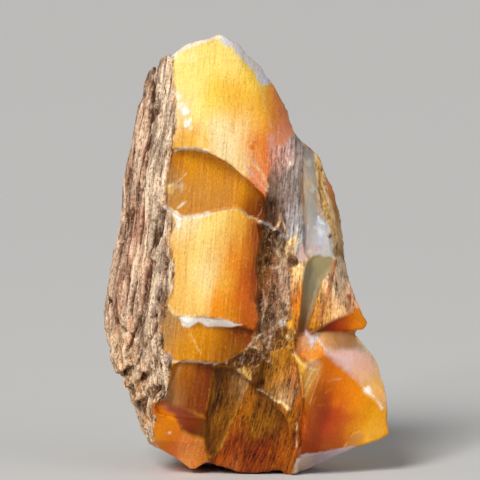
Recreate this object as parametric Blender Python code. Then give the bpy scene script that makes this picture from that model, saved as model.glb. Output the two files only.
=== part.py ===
"""A piece of wood opal that stands upright on a small flat spot.

The stone is one piece: glossy opal that broke along the grain, with a rind of weathered wood on its
left side and back. It is drawn in millimetres as it is seen from the front: u to the right, v up and
y away from the eye. Then it is leaned back by LEAN, because the eye looks down on it by that angle.
"""

import math

import bmesh
import bpy
from mathutils import Vector, noise

# The driving dimension is the height of the drawn outline in metres: a drawn millimetre follows from it
HEIGHT = 0.1095
HEIGHT_MM = 109.5
MM = HEIGHT / HEIGHT_MM

# The drawing is leaned back by this angle and then brought forward, which centres the stone on its base
LEAN = math.radians(5.0)
SET_BACK_MM = 9.41

# How finely the body is lofted, in millimetres and in columns
ROW_STEP_MM = 2.2
LOFT_FOOT_MM = -3.0
LOFT_TOP_MM = 111.0
FRONT_COLUMNS = 22
BACK_COLUMNS = 34
# Short straight steps that stand in for the curve between two rails
CURVE_STEPS = 12

# Corners that the cuts leave this close together are made one
WELD_MM = 0.03

# The weathered wood's ribs lean to the right by this much of their height
GRAIN_SLANT = 0.167
RIB_WIDTH_MM = 2.6
RIB_LENGTH_MM = 22.0
RIB_HEIGHT_MM = 1.1
LUMP_WIDTH_MM = 14.0
LUMP_HEIGHT_MM = 1.2
LUMP_NOISE_PLACE = (40.0, 0.0, 0.0)
# The ribs fade out over this distance from the loft's ends and this many columns from the sharp edges
FADE_MM = 6.0
FADE_COLUMNS = 3

# The cutters reach this far beyond the stone, in millimetres
REACH_MM = 60.0

# Rails of the loft, from the foot up, as (u, v, y)
LEFT_RAIL = [
    (-19.2, -3.0, 4.0), (-21.8, 5.0, 4.0), (-25.0, 8.0, 5.0), (-27.8, 14.2, 6.0),
    (-30.2, 19.2, 6.5), (-33.2, 25.2, 7.5), (-35.0, 31.8, 8.0), (-35.8, 39.2, 8.5),
    (-35.0, 45.5, 8.5), (-33.0, 55.5, 8.5), (-31.5, 68.0, 8.0), (-29.5, 80.5, 7.0),
    (-27.5, 91.5, 6.0), (-25.5, 99.5, 5.0), (-22.2, 111.0, 4.0),
]
RIND_RAIL = [
    (-19.0, -3.0, 1.0), (-22.2, 5.0, 0.0), (-24.0, 8.0, 0.0), (-25.8, 14.2, -1.0),
    (-26.2, 19.2, -1.5), (-27.2, 25.2, -1.5), (-29.0, 31.8, -1.5), (-29.2, 39.2, -1.5),
    (-29.0, 45.5, -1.5), (-27.8, 55.5, -1.5), (-26.8, 68.0, -1.2), (-25.0, 80.5, -1.0),
    (-23.2, 91.5, -0.5), (-21.8, 99.5, 0.0), (-20.2, 111.0, 1.0),
]
EDGE_RAIL = [
    (-18.8, -3.0, -1.0), (-20.5, 4.2, -4.0), (-23.2, 8.0, -8.0), (-23.0, 16.8, -12.5),
    (-19.2, 21.8, -12.0), (-20.2, 31.2, -12.5), (-19.2, 41.8, -13.0), (-18.5, 55.5, -13.0),
    (-19.0, 68.0, -12.5), (-18.0, 80.5, -12.0), (-17.8, 93.0, -7.0), (-18.8, 103.8, -2.0),
    (-18.8, 111.0, -1.0),
]
CREST_RAIL = [
    (-10.5, -3.0, -2.0), (-10.5, 8.0, -9.5), (-9.8, 18.0, -14.0), (-10.0, 28.0, -15.5),
    (-9.0, 39.2, -16.8), (-8.5, 51.8, -17.0), (-8.8, 64.2, -16.5), (-9.8, 80.5, -15.0),
    (-10.5, 93.0, -9.5), (-11.8, 103.0, -4.0), (-13.0, 111.0, -2.0),
]
MATRIX_RAIL = [
    (11.8, -3.0, -6.0), (12.5, 8.0, -10.5), (12.2, 16.8, -12.0), (9.5, 24.2, -12.6),
    (3.8, 35.5, -13.0), (3.2, 45.5, -13.0), (3.8, 63.0, -12.5), (4.2, 78.0, -11.0),
    (3.8, 88.0, -9.0), (0.8, 96.8, -5.0), (-2.8, 103.0, -3.0), (-5.5, 111.0, -1.0),
]
SHOULDER_RAIL = [
    (14.5, -3.0, -5.5), (18.2, 3.0, -7.5), (22.8, 8.0, -9.5), (22.8, 18.0, -11.0),
    (20.8, 28.0, -11.0), (22.8, 36.8, -9.0), (20.2, 43.0, -8.0), (17.8, 53.8, -7.5),
    (16.2, 64.2, -7.0), (12.5, 78.0, -5.0), (8.2, 88.0, -3.5), (4.5, 96.8, -1.0),
    (0.0, 103.0, 0.0), (-3.8, 111.0, 1.0),
]
RIGHT_RAIL = [
    (16.2, -3.0, -4.0), (18.8, 1.5, -4.0), (26.2, 5.0, -3.5), (34.8, 8.0, -3.0),
    (36.0, 10.5, -3.0), (35.0, 20.5, -2.5), (32.0, 29.5, 0.5), (30.5, 36.8, -1.0),
    (26.8, 45.5, 3.0), (24.8, 53.8, 5.0), (23.0, 66.8, 6.0), (18.8, 78.0, 5.0),
    (11.2, 88.0, 4.5), (7.2, 96.8, 4.0), (2.2, 103.0, 4.0), (-1.8, 111.0, 4.0),
]
BACK_RIGHT_RAIL = [
    (13.2, -3.0, 12.0), (15.8, 3.0, 12.0), (21.5, 10.5, 11.0), (23.2, 20.5, 12.0),
    (21.5, 33.0, 16.0), (19.5, 43.0, 19.0), (18.8, 53.0, 20.0), (17.8, 64.2, 20.0),
    (14.5, 78.0, 18.0), (7.8, 88.0, 15.0), (3.8, 96.8, 12.0), (-3.8, 111.0, 8.0),
]
BACK_RAIL = [
    (-3.0, -3.0, 18.0), (-4.2, 10.5, 20.0), (-5.5, 25.5, 22.0), (-6.2, 43.0, 26.0),
    (-6.8, 64.2, 26.0), (-8.8, 80.5, 23.0), (-10.5, 96.8, 17.0), (-11.8, 111.0, 9.0),
]
BACK_LEFT_RAIL = [
    (-16.8, -3.0, 14.0), (-19.2, 6.8, 15.0), (-23.0, 14.2, 16.0), (-27.2, 25.2, 18.0),
    (-28.8, 39.2, 20.0), (-28.0, 50.5, 20.5), (-26.8, 64.2, 20.0), (-25.5, 80.5, 18.0),
    (-24.2, 91.5, 15.0), (-21.8, 99.5, 12.0), (-18.8, 111.0, 8.0),
]

# The stone's outline from the front, clockwise from the rind's top
OUTLINE = [
    (-29.2, 80.5), (-28.0, 86.8), (-27.2, 91.5), (-26.2, 93.2), (-25.8, 97.0), (-25.0, 99.5),
    (-24.2, 100.5), (-21.8, 101.4), (-21.5, 102.8), (-19.8, 104.4), (-18.8, 103.6),
    (-17.6, 105.0), (-15.1, 106.8), (-12.8, 107.5), (-9.5, 108.2), (-7.2, 109.4), (-5.2, 108.8),
    (-3.8, 107.5), (-2.8, 107.5), (-1.5, 106.4), (0.0, 104.5), (3.0, 102.0), (4.0, 101.0),
    (4.2, 99.9), (6.2, 97.5), (8.0, 94.0), (9.5, 91.5), (11.5, 86.0), (12.2, 84.1), (13.5, 82.8),
    (15.8, 81.2), (18.2, 78.5), (19.5, 74.5), (21.5, 70.8), (22.2, 68.0), (23.8, 60.2),
    (24.2, 53.8), (25.5, 47.8), (27.0, 43.5), (29.2, 38.5), (30.1, 37.0), (29.0, 35.6),
    (26.2, 35.5), (26.6, 34.8), (31.2, 29.5), (33.0, 26.5), (33.2, 24.2), (34.2, 21.5),
    (35.2, 15.8), (35.0, 13.0), (35.5, 9.5), (34.0, 8.8), (32.8, 8.0), (29.8, 7.2), (26.5, 6.2),
    (20.4, 3.5), (15.8, 1.2), (14.0, 0.5), (10.8, -0.5), (9.5, -0.4), (8.5, 0.8), (2.8, 0.1),
    (-1.4, 0.1), (-3.5, 0.6), (-7.5, 2.0), (-10.0, 2.8), (-12.9, 1.0), (-14.1, 1.0),
    (-16.8, 3.1), (-21.4, 5.8), (-23.8, 6.5), (-25.1, 9.0), (-29.0, 17.8), (-30.0, 20.5),
    (-30.8, 21.5), (-31.0, 23.5), (-33.0, 25.2), (-34.0, 30.0), (-35.2, 36.2), (-35.5, 40.5),
    (-34.8, 44.8), (-34.0, 49.2), (-32.0, 60.6), (-32.1, 62.2), (-31.2, 66.8), (-31.5, 68.5),
    (-30.5, 75.0),
]

# Fracture scars: an outline, and three points of the flat floor it is cut down to. A scar with a bevel
# has three points of its rim too and, in the order of the outline, the floor's own outline.
SCARS = {
    "recess_under_top": {
        "outline": [
            (-26.8, 81.0), (-18.0, 80.5), (-12.5, 80.6), (-10.2, 80.0), (-6.8, 78.2),
            (-3.5, 76.2), (-1.8, 74.5), (1.2, 72.0), (3.2, 70.0), (4.2, 69.2), (4.0, 64.8),
            (2.8, 62.8), (-0.2, 64.1), (-2.2, 65.9), (-5.5, 65.4), (-9.5, 64.6), (-12.8, 64.0),
            (-16.2, 63.5), (-18.5, 65.0), (-20.0, 66.0), (-26.8, 67.2),
        ],
        "floor": [(-19.8, 73.0, -9.3), (3.8, 68.0, -9.6), (-8.0, 80.5, -9.6)],
    },
    "hollow_beside_block": {
        "outline": [
            (2.1, 63.5), (5.2, 61.2), (7.0, 60.2), (10.0, 58.2), (12.5, 52.5), (13.2, 43.0),
            (11.2, 35.5), (9.0, 31.8), (5.2, 30.0), (1.9, 35.6), (2.8, 38.5), (2.0, 43.0),
            (2.8, 45.5), (2.2, 52.5), (3.5, 58.0),
        ],
        "floor": [(3.8, 58.0, -9.8), (3.8, 38.0, -9.8), (12.8, 45.5, -9.6)],
    },
    "step_right_of_crease": {
        "outline": [
            (-16.5, 38.8), (-12.0, 39.1), (-6.8, 38.5), (-1.8, 37.0), (1.8, 35.8), (5.2, 35.5),
            (7.0, 30.0), (3.8, 19.2), (-10.5, 19.2), (-21.8, 25.0), (-19.8, 32.5),
        ],
        "rim": [(-14.2, 39.0, -15.6), (-3.0, 37.5, -15.9), (-8.8, 45.5, -16.2)],
        "floor_outline": [
            (-16.2, 36.0), (-10.5, 36.2), (-5.5, 36.0), (-1.8, 35.9), (1.8, 35.4), (5.2, 35.0),
            (7.0, 30.0), (3.8, 19.2), (-10.5, 19.2), (-21.8, 25.0), (-19.8, 32.5),
        ],
        "floor": [(-14.2, 34.0, -14.0), (-12.2, 29.5, -14.2), (2.0, 30.5, -12.3)],
    },
    "step_left_of_crease": {
        "outline": [
            (-26.8, 43.0), (-19.8, 42.0), (-18.0, 39.8), (-15.5, 37.5), (-11.8, 34.8),
            (-9.2, 23.5), (-17.8, 23.5), (-19.0, 29.5), (-20.9, 31.0), (-26.8, 32.0),
        ],
        "floor": [(-20.5, 34.2, -11.5), (-14.2, 34.0, -14.0), (-12.2, 29.5, -14.2)],
    },
    "scar_lower_left": {
        "outline": [
            (-18.2, 27.0), (-16.0, 28.0), (-12.0, 27.8), (-7.5, 27.5), (-7.5, 18.0),
            (-8.8, 13.0), (-14.2, 13.5), (-21.8, 15.0), (-23.5, 17.5), (-20.2, 18.0),
            (-19.8, 19.0),
        ],
        "floor": [(-18.8, 21.8, -9.8), (-9.2, 21.8, -10.4), (-14.2, 16.8, -9.4)],
    },
    "ledge_over_lower_left": {
        "outline": [
            (-23.8, 18.0), (-19.2, 18.5), (-10.8, 15.2), (-6.2, 11.8), (-7.5, 6.5), (-10.5, 8.8),
            (-15.8, 10.4), (-16.5, 12.0), (-18.5, 14.6), (-23.0, 16.5),
        ],
        "floor": [(-21.8, 17.5, -10.2), (-11.0, 14.5, -9.6), (-15.8, 10.5, -11.0)],
    },
    "scar_lower_middle": {
        "outline": [
            (-8.8, 27.6), (-7.5, 27.4), (-3.0, 26.2), (-1.0, 25.0), (0.8, 22.8), (4.0, 20.0),
            (6.5, 18.0), (8.2, 15.8), (9.8, 13.2), (10.8, 8.0), (11.0, -4.5), (-8.5, -4.5),
            (-9.5, 2.2), (-10.5, 8.0), (-10.0, 14.8), (-9.2, 18.0), (-8.5, 23.0),
        ],
        "floor": [(-8.2, 24.2, -9.6), (8.2, 15.0, -8.0), (0.8, 0.2, -5.0)],
    },
    "column_beside_lobe": {
        "outline": [
            (4.8, 30.5), (9.0, 32.2), (11.2, 33.5), (11.5, 29.8), (12.5, 25.0), (13.8, 17.8),
            (14.0, 11.8), (13.0, 5.0), (12.8, -4.5), (8.2, -4.5), (8.5, 8.0), (5.8, 16.8),
            (2.0, 20.5),
        ],
        "floor": [(5.2, 28.0, -10.9), (12.2, 24.2, -10.2), (12.2, 8.0, -8.6)],
    },
    "facet_upper_right_lobe": {
        "outline": [
            (17.8, 35.2), (26.2, 35.4), (38.2, 35.4), (38.2, 10.5), (30.8, 11.8), (22.0, 21.8),
            (16.2, 30.0),
        ],
        "floor": [(19.5, 30.0, -9.8), (33.8, 15.8, -5.2), (28.2, 32.8, -1.5)],
    },
    "facet_top_of_lobe": {
        "outline": [
            (11.2, 34.5), (13.2, 35.3), (19.2, 35.4), (22.0, 30.0), (17.8, 26.0), (12.2, 30.0),
        ],
        "floor": [(12.2, 30.0, -11.4), (18.2, 29.0, -10.6), (15.8, 34.5, -8.6)],
    },
    "bevel_of_spur": {
        "outline": [
            (14.8, 34.0), (17.8, 36.2), (21.5, 38.1), (25.8, 39.8), (27.5, 40.4), (33.2, 40.4),
            (33.2, 34.5), (20.8, 34.2),
        ],
        "floor": [(17.8, 36.0, -9.2), (27.2, 39.8, -4.6), (24.5, 35.5, -5.0)],
    },
    "underside_of_lobe": {
        "outline": [
            (12.5, 6.8), (18.2, 8.0), (25.8, 9.0), (33.2, 10.5), (38.2, 11.5), (38.2, -4.5),
            (13.2, -4.5), (12.8, 0.5),
        ],
        "floor": [(13.2, 4.2, -9.4), (26.2, 6.0, -6.8), (17.8, 2.2, -5.0)],
    },
    "underside_of_left_foot": {
        "outline": [
            (-19.2, 9.0), (-13.8, 10.5), (-7.8, 10.5), (-7.8, -4.5), (-21.8, -4.5), (-21.8, 5.5),
        ],
        "floor": [(-16.8, 7.2, -9.6), (-10.2, 8.0, -9.4), (-13.8, 1.0, -4.5)],
    },
    "agate_band": {
        "outline": [
            (13.8, 81.0), (16.0, 80.5), (18.0, 74.0), (19.0, 64.0), (21.8, 55.5), (21.5, 53.2),
            (15.5, 53.0), (14.2, 55.0), (14.0, 68.0),
        ],
        "floor": [(13.8, 68.0, -6.9), (18.2, 68.0, -3.6), (20.2, 55.5, -3.2)],
    },
    "wedge_in_agate": {
        "outline": [
            (14.9, 52.0), (16.2, 53.8), (18.2, 54.2), (21.5, 53.8), (21.4, 50.8), (18.5, 47.8),
            (17.0, 42.2), (14.5, 34.2), (12.5, 34.2), (13.5, 42.0), (14.0, 48.0),
        ],
        "floor": [(14.5, 50.5, -6.8), (20.8, 52.5, -3.4), (13.8, 35.5, -7.8)],
    },
}

# The scoop of the lobe: part of a ball
LOBE_SCOOP_OUTLINE = [
    (14.1, 25.0), (16.8, 28.5), (19.2, 31.8), (39.5, 31.8), (39.5, 3.0), (13.2, 2.5),
    (13.1, 5.0), (14.1, 11.8), (13.9, 17.8),
]
LOBE_SCOOP_CENTRE = (34.9, 16.8, -34.9)
LOBE_SCOOP_RADIUS_MM = 32.0

# How often the balls' faces are split in four
BALL_STEPS = 5

# Splinter ends and a crack in the rind's foot: an outline, and the depth y of the floor
RIND_NOTCHES = {
    "splinter_end_outer": {
        "outline": [
            (-34.8, 22.5), (-32.0, 24.5), (-28.5, 26.8), (-28.0, 26.0), (-29.5, 23.8),
            (-30.8, 21.0),
        ],
        "depth": 5.0,
    },
    "splinter_end_inner": {
        "outline": [(-27.0, 24.8), (-23.8, 26.0), (-24.8, 23.5), (-26.5, 21.0), (-27.8, 20.8)],
        "depth": -1.5,
    },
    "splinter_end_lower": {
        "outline": [(-31.2, 18.5), (-27.0, 18.2), (-27.2, 17.0), (-29.0, 15.8)],
        "depth": 3.0,
    },
}

# Shell-like fracture faces on the back: each is where a large ball with this centre meets the stone
BACK_SCOOP_RADIUS_MM = 110.0
BACK_SCOOPS = {
    "back_of_top": (-8.0, 148.0, 108.0),
    "back_upper_right": (67.0, 86.4, 108.0),
    "back_lower_right": (83.5, 11.0, 96.8),
    "back_lower_left": (-82.0, -12.7, 102.2),
}


def stand(u, v, y):
    """Where a drawn point is on the standing stone, in metres."""
    height = v * math.cos(LEAN) - y * math.sin(LEAN)
    depth = y * math.cos(LEAN) + v * math.sin(LEAN) - SET_BACK_MM
    return Vector((u, depth, height)) * MM


def on_rail(rail, v):
    """The point of a rail at the height v, straight between the rail's own points."""
    for low, high in zip(rail, rail[1:]):
        if v <= high[1]:
            share = (v - low[1]) / (high[1] - low[1])
            return Vector((low[0] + share * (high[0] - low[0]), low[2] + share * (high[2] - low[2])))
    return Vector((rail[-1][0], rail[-1][2]))


def smooth_row(anchors, columns):
    """Points evenly along a smooth curve through the anchors, without the last one."""
    fine = []
    ends = [2 * anchors[0] - anchors[1]] + anchors + [2 * anchors[-1] - anchors[-2]]
    for before, start, end, after in zip(ends, ends[1:], ends[2:], ends[3:]):
        chord = (end - start).length
        tangent_in = (end - before) * chord / ((start - before).length + chord)
        tangent_out = (after - start) * chord / ((after - end).length + chord)
        for step in range(CURVE_STEPS):
            t = step / CURVE_STEPS
            fine.append(
                start * (2 * t ** 3 - 3 * t ** 2 + 1) + tangent_in * (t ** 3 - 2 * t ** 2 + t)
                + end * (3 * t ** 2 - 2 * t ** 3) + tangent_out * (t ** 3 - t ** 2)
            )
    fine.append(anchors[-1])
    lengths = [0.0]
    for start, end in zip(fine, fine[1:]):
        lengths.append(lengths[-1] + (end - start).length)
    row = []
    spot = 0
    for column in range(columns):
        goal = lengths[-1] * column / columns
        while lengths[spot + 1] < goal:
            spot += 1
        share = (goal - lengths[spot]) / (lengths[spot + 1] - lengths[spot])
        row.append(fine[spot].lerp(fine[spot + 1], share))
    return row


def section(v):
    """One level of the body: the front from the rind's edge to the right, then the back round to the rind."""
    front = [on_rail(rail, v) for rail in (EDGE_RAIL, CREST_RAIL, MATRIX_RAIL, SHOULDER_RAIL, RIGHT_RAIL)]
    back = [
        on_rail(rail, v)
        for rail in (RIGHT_RAIL, BACK_RIGHT_RAIL, BACK_RAIL, BACK_LEFT_RAIL, LEFT_RAIL, RIND_RAIL, EDGE_RAIL)
    ]
    row = smooth_row(front, FRONT_COLUMNS) + smooth_row(back, BACK_COLUMNS)
    relief = list(row)
    from_end = min(v - LOFT_FOOT_MM, LOFT_TOP_MM - v) / FADE_MM
    for spot in range(FRONT_COLUMNS + 1, len(row)):
        fade = min(1.0, from_end, (spot - FRONT_COLUMNS) / FADE_COLUMNS, (len(row) - spot) / FADE_COLUMNS)
        along = row[(spot + 1) % len(row)] - row[spot - 1]
        outward = Vector((along.y, -along.x)).normalized()
        relief[spot] = row[spot] + outward * fade * grain_relief(row[spot], v)
    return relief


def grain_relief(point, v):
    """How far the weathered wood stands out at a place: ribs that follow the grain."""
    across = (point.x - v * GRAIN_SLANT) / RIB_WIDTH_MM
    rib = noise.noise(Vector((across, point.y / RIB_WIDTH_MM, v / RIB_LENGTH_MM)))
    lump = noise.noise(Vector((point.x, point.y, v)) / LUMP_WIDTH_MM + Vector(LUMP_NOISE_PLACE))
    return RIB_HEIGHT_MM * rib + LUMP_HEIGHT_MM * lump


def add_object(name, mesh_maker, collection, material=None):
    """An object with the mesh that mesh_maker fills in."""
    mesh = bpy.data.meshes.new(name)
    shape = bmesh.new()
    mesh_maker(shape)
    bmesh.ops.triangulate(shape, faces=shape.faces)
    bmesh.ops.recalc_face_normals(shape, faces=shape.faces)
    shape.to_mesh(mesh)
    shape.free()
    if material is not None:
        mesh.materials.append(material)
    made = bpy.data.objects.new(name, mesh)
    collection.objects.link(made)
    return made


def loft_body(shape):
    """The whole stone before it broke: a loft through its sections."""
    rows = []
    levels = round((LOFT_TOP_MM - LOFT_FOOT_MM) / ROW_STEP_MM)
    for level in range(levels + 1):
        v = LOFT_FOOT_MM + (LOFT_TOP_MM - LOFT_FOOT_MM) * level / levels
        rows.append([shape.verts.new(stand(point.x, v, point.y)) for point in section(v)])
    for low, high in zip(rows, rows[1:]):
        for here in range(len(low)):
            after = (here + 1) % len(low)
            shape.faces.new((low[here], low[after], high[after], high[here]))
    shape.faces.new(list(reversed(rows[0])))
    shape.faces.new(rows[-1])


def outline_column(outline):
    """A mesh maker for an outline drawn out from before the stone to behind it."""
    def fill(shape):
        near = [stand(u, v, -REACH_MM) for u, v in outline]
        far = [stand(u, v, REACH_MM) for u, v in outline]
        closed_body(shape, [near, far])
    return fill


def closed_body(shape, rings):
    """A closed body through rings that have as many points."""
    rings = [[shape.verts.new(point) for point in ring] for ring in rings]
    shape.faces.new(rings[0])
    shape.faces.new(list(reversed(rings[-1])))
    for near, far in zip(rings, rings[1:]):
        for here in range(len(near)):
            after = (here + 1) % len(near)
            shape.faces.new((near[here], far[here], far[after], near[after]))


def floor_depth(floor, u, v):
    """The depth y of the flat floor through three points at a place of the drawing."""
    first, second, third = (Vector(point) for point in floor)
    normal = (second - first).cross(third - first)
    return first.z - (normal.x * (u - first.x) + normal.y * (v - first.y)) / normal.z


def scar_cutter(outline, floor, rim=None, floor_outline=None):
    """A mesh maker for what a scar takes away: from before the stone down to its floor."""
    def fill(shape):
        rings = [[stand(u, v, -REACH_MM) for u, v in outline]]
        if rim is not None:
            rings.append([stand(u, v, floor_depth(rim, u, v)) for u, v in outline])
        rings.append([stand(u, v, floor_depth(floor, u, v)) for u, v in floor_outline or outline])
        closed_body(shape, rings)
    return fill


def ground_block(shape):
    """What is below the ground that the stone rests on."""
    bmesh.ops.create_cube(shape, size=1.0)
    side = 2 * REACH_MM * MM
    bmesh.ops.scale(shape, vec=(side, side, side), verts=shape.verts)
    bmesh.ops.translate(shape, vec=(0, 0, -side / 2), verts=shape.verts)


def ball(centre, radius):
    """A mesh maker for a ball: where it meets the stone, it leaves a shell-like scoop."""
    def fill(shape):
        bmesh.ops.create_icosphere(shape, subdivisions=BALL_STEPS, radius=radius * MM)
        bmesh.ops.translate(shape, vec=stand(*centre), verts=shape.verts)
    return fill


def stone_material():
    """Glossy orange-brown opal."""
    material = bpy.data.materials.new("wood_opal")
    material.use_nodes = True
    principled = material.node_tree.nodes["Principled BSDF"]
    principled.inputs["Base Color"].default_value = (0.45, 0.20, 0.06, 1.0)
    principled.inputs["Roughness"].default_value = 0.25
    principled.inputs["Metallic"].default_value = 0.0
    return material


def cut(body, cutter, operation):
    """Adds one exact Boolean to the body."""
    change = body.modifiers.new(cutter.name, "BOOLEAN")
    change.solver = "EXACT"
    change.operation = operation
    change.object = cutter


def main():
    for old in list(bpy.data.objects):
        bpy.data.objects.remove(old)
    stone = bpy.data.collections.new("wood_opal")
    cutters = bpy.data.collections.new("cutters")
    bpy.context.scene.collection.children.link(stone)
    bpy.context.scene.collection.children.link(cutters)
    body = add_object("wood_opal", loft_body, stone, stone_material())
    cut(body, add_object("outline", outline_column(OUTLINE), cutters), "INTERSECT")
    for name, scar in SCARS.items():
        cut(body, add_object(name, scar_cutter(**scar), cutters), "DIFFERENCE")
    for name, notch in RIND_NOTCHES.items():
        floor = [(u, v, notch["depth"]) for u, v in notch["outline"][:3]]
        cut(body, add_object(name, scar_cutter(notch["outline"], floor), cutters), "DIFFERENCE")
    for name, centre in BACK_SCOOPS.items():
        back_ball = ball(centre, BACK_SCOOP_RADIUS_MM)
        cut(body, add_object(name, back_ball, cutters), "DIFFERENCE")
    scoop = add_object("scoop_of_lobe", outline_column(LOBE_SCOOP_OUTLINE), cutters)
    lobe_ball = ball(LOBE_SCOOP_CENTRE, LOBE_SCOOP_RADIUS_MM)
    cut(scoop, add_object("scoop_ball", lobe_ball, cutters), "INTERSECT")
    cut(body, scoop, "DIFFERENCE")
    cut(body, add_object("ground", ground_block, cutters), "DIFFERENCE")
    weld = body.modifiers.new("weld", "WELD")
    weld.merge_threshold = WELD_MM * MM
    for cutter in cutters.objects:
        cutter.hide_render = True
        cutter.display_type = "WIRE"


main()
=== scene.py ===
"""The looks of the wood opal: its finished surface, its colours, the floor, the light and the camera.

Places are given as they are seen from the front, in millimetres: u to the right, v up and y away
from the eye, which looks down by LEAN.
"""

import math

import bmesh
import bpy
import numpy as np
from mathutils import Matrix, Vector


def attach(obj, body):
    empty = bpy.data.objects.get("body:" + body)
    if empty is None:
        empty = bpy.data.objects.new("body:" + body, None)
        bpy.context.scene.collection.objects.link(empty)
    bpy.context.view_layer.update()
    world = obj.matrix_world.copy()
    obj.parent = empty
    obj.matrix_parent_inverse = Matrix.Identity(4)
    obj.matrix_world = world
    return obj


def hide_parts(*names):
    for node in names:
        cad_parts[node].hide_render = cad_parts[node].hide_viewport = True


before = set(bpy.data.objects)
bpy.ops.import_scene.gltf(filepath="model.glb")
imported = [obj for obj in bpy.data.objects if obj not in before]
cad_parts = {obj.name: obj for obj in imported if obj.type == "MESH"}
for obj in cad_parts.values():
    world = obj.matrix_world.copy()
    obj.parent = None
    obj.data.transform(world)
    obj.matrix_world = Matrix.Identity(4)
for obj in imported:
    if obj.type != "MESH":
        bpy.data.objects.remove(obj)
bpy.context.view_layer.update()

# The part's own place in the drawing
NODE = "wood_opal"
MM = 0.001
LEAN = math.radians(5)
SET_BACK_MM = 9.41

# The surface's mesh: even quads, split in four where they face the eye or turn from it by less than
# FRONT_TURN, and how far its sharpest corners are eased
QUAD_MM = 0.82
FRONT_TURN = 0.1
EASE_WEIGHT = 0.5
WELD_MM = 0.003

# The wood's grain and the opal's fibres lean to the right: by this much of their height, how fast that
# grows toward the foot, and the height in millimetres below which it does
GRAIN_LEAN = (0.13, 0.0045, 48)
FIBRE_LEAN = (0.09, 0.004, 30)

# A face stops being a front face between these two shares of a turn away from the eye, and is a side
# between these two shares of a turn to the left or right
BACK_TURN = (-0.02, 0.28)
SIDE_TURN = (0.6, 0.85)

# How far a spot of colour reaches across and along the grain
SPOT_WIDTH_MM = 1.9
SPOT_LENGTH_MM = 3

# Large shell-like faces of the back are parts of balls with these middles, as (u, v, y)
BACK_BALL_MM = 110
BACK_BALLS = [(-8, 148, 108), (67, 86.4, 108), (83.5, 11, 96.8), (-82, -12.7, 102.2)]

# The lobe at the lower right, below this height, has no weathered wood on its end
LOBE_TOP_MM = 38

# Values that the mesh keeps for the material, and how much each kind of stone counts toward them
STORED = {
    "rind": {"rind": 1},
    "web": {"web": 1, "sugar": 0.5},
    "fibrous": {"fibrous": 1, "wood": 1},
    "lined": {"opal": 1, "glassy": 0.15},
    "gloss": {"opal": 1, "glassy": 1, "agate": 0.8, "fibrous": 0.8, "wood": 0.4},
}

# The light that the gloss throws back is taken off the painted colours, down to the darkest
VEILED = {"opal": 0.4, "glassy": 1, "fibrous": 1}
VEIL = 0.012
DARKEST = 0.002

# The stone's shine: how rough it is without gloss, how much gloss takes off that and how far it varies,
# how strong and rough the clear coat is where gloss is full, how high the fine relief is, and how much
# of it the specks of the wood and the lines of the opal make
ROUGHEST = 0.9
GLOSS_SMOOTHS = 0.62
ROUGH_SWING = 0.2
OPAL_IOR = 1.42
SPECULAR = 0.14
GLOSS_COAT = 0.09
COAT_ROUGHNESS = 0.1
BUMP_MM = 0.5
SPECK_BUMP = 0.7
LINE_BUMP = 0.12

# The studio
FLOOR_SIZE = 16
FLOOR_COLOUR = (0.72, 0.71, 0.69)
FLOOR_ROUGHNESS = 0.9
WORLD_STRENGTH = 0.2

# Sun-like lights: name, how high, how far to the right and how soft in degrees, and the strength
SUNS = [("key", 40, -28, 24, 2.2), ("fill", 15, 50, 60, 0.65)]

# A small lamp for the glints: place and width in metres, and power in watts
LAMP_PLACE = (-0.45, -1, 0.5)
LAMP_WIDTH = 0.12
LAMP_POWER = 2.2
LAMP_AIM_MM = (0, 50)

# Camera: a long lens at the photograph's angle
LENS_MM = 400
SENSOR_MM = 36
CAMERA_DISTANCE = 1.3333
CAMERA_AIM_MM = (-1.75, 58)

# Colours, as they look on a screen, 0 to 255
COLOURS = {
    "chalk": (238, 226, 205), "blue white": (205, 207, 222), "lilac": (188, 168, 176),
    "lavender": (222, 172, 158), "cream": (244, 218, 160), "pale peach": (247, 208, 142),
    "peach": (240, 180, 118), "lemon": (252, 218, 118), "yellow": (250, 206, 80),
    "gold": (240, 178, 60), "amber": (214, 140, 26), "deep amber": (176, 102, 10),
    "honey": (198, 136, 58), "orange": (240, 140, 28), "deep orange": (216, 92, 4),
    "coral": (232, 132, 76), "red orange": (188, 66, 2), "fire red": (138, 42, 4),
    "dark red": (108, 36, 8), "red brown": (124, 54, 12), "brown": (108, 62, 20),
    "dark brown": (66, 38, 18), "umber": (92, 56, 34), "tan": (176, 132, 84),
    "gold brown": (146, 92, 30), "mauve": (140, 72, 50), "pink brown": (186, 112, 72),
    "rind dark": (84, 48, 28), "rind pale": (222, 194, 166), "rind cream": (246, 218, 184),
    "rind tan": (232, 182, 134), "taupe": (126, 106, 94), "slate": (98, 94, 100),
    "grey beige": (180, 170, 154), "grey green": (150, 140, 114), "sugar": (232, 192, 138),
    "warm gold": (240, 184, 94), "pale gold": (248, 212, 122), "rust": (180, 82, 8),
    "sienna": (180, 98, 40), "silver": (186, 184, 178), "pale taupe": (158, 144, 136),
    "olive grey": (162, 146, 104), "rind red": (208, 154, 124), "rind grey": (202, 175, 148),
    "rind gold": (224, 160, 98), "line shade": (226, 186, 140), "honey gold": (226, 166, 74),
    "white": (252, 246, 236), "lilac grey": (198, 170, 158), "grey lilac": (136, 118, 122),
    "rose": (236, 190, 178), "bronze": (144, 74, 10),
}

# The ridge between the lobe's face and its shoulder, from the upper left
LOBE_RIDGE = [
    (18.5, 30.8), (20.5, 29.2), (23.5, 26.5), (26, 24.2), (28.5, 22), (29.2, 20), (31.5, 18.2),
    (33.9, 15.8),
]

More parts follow.
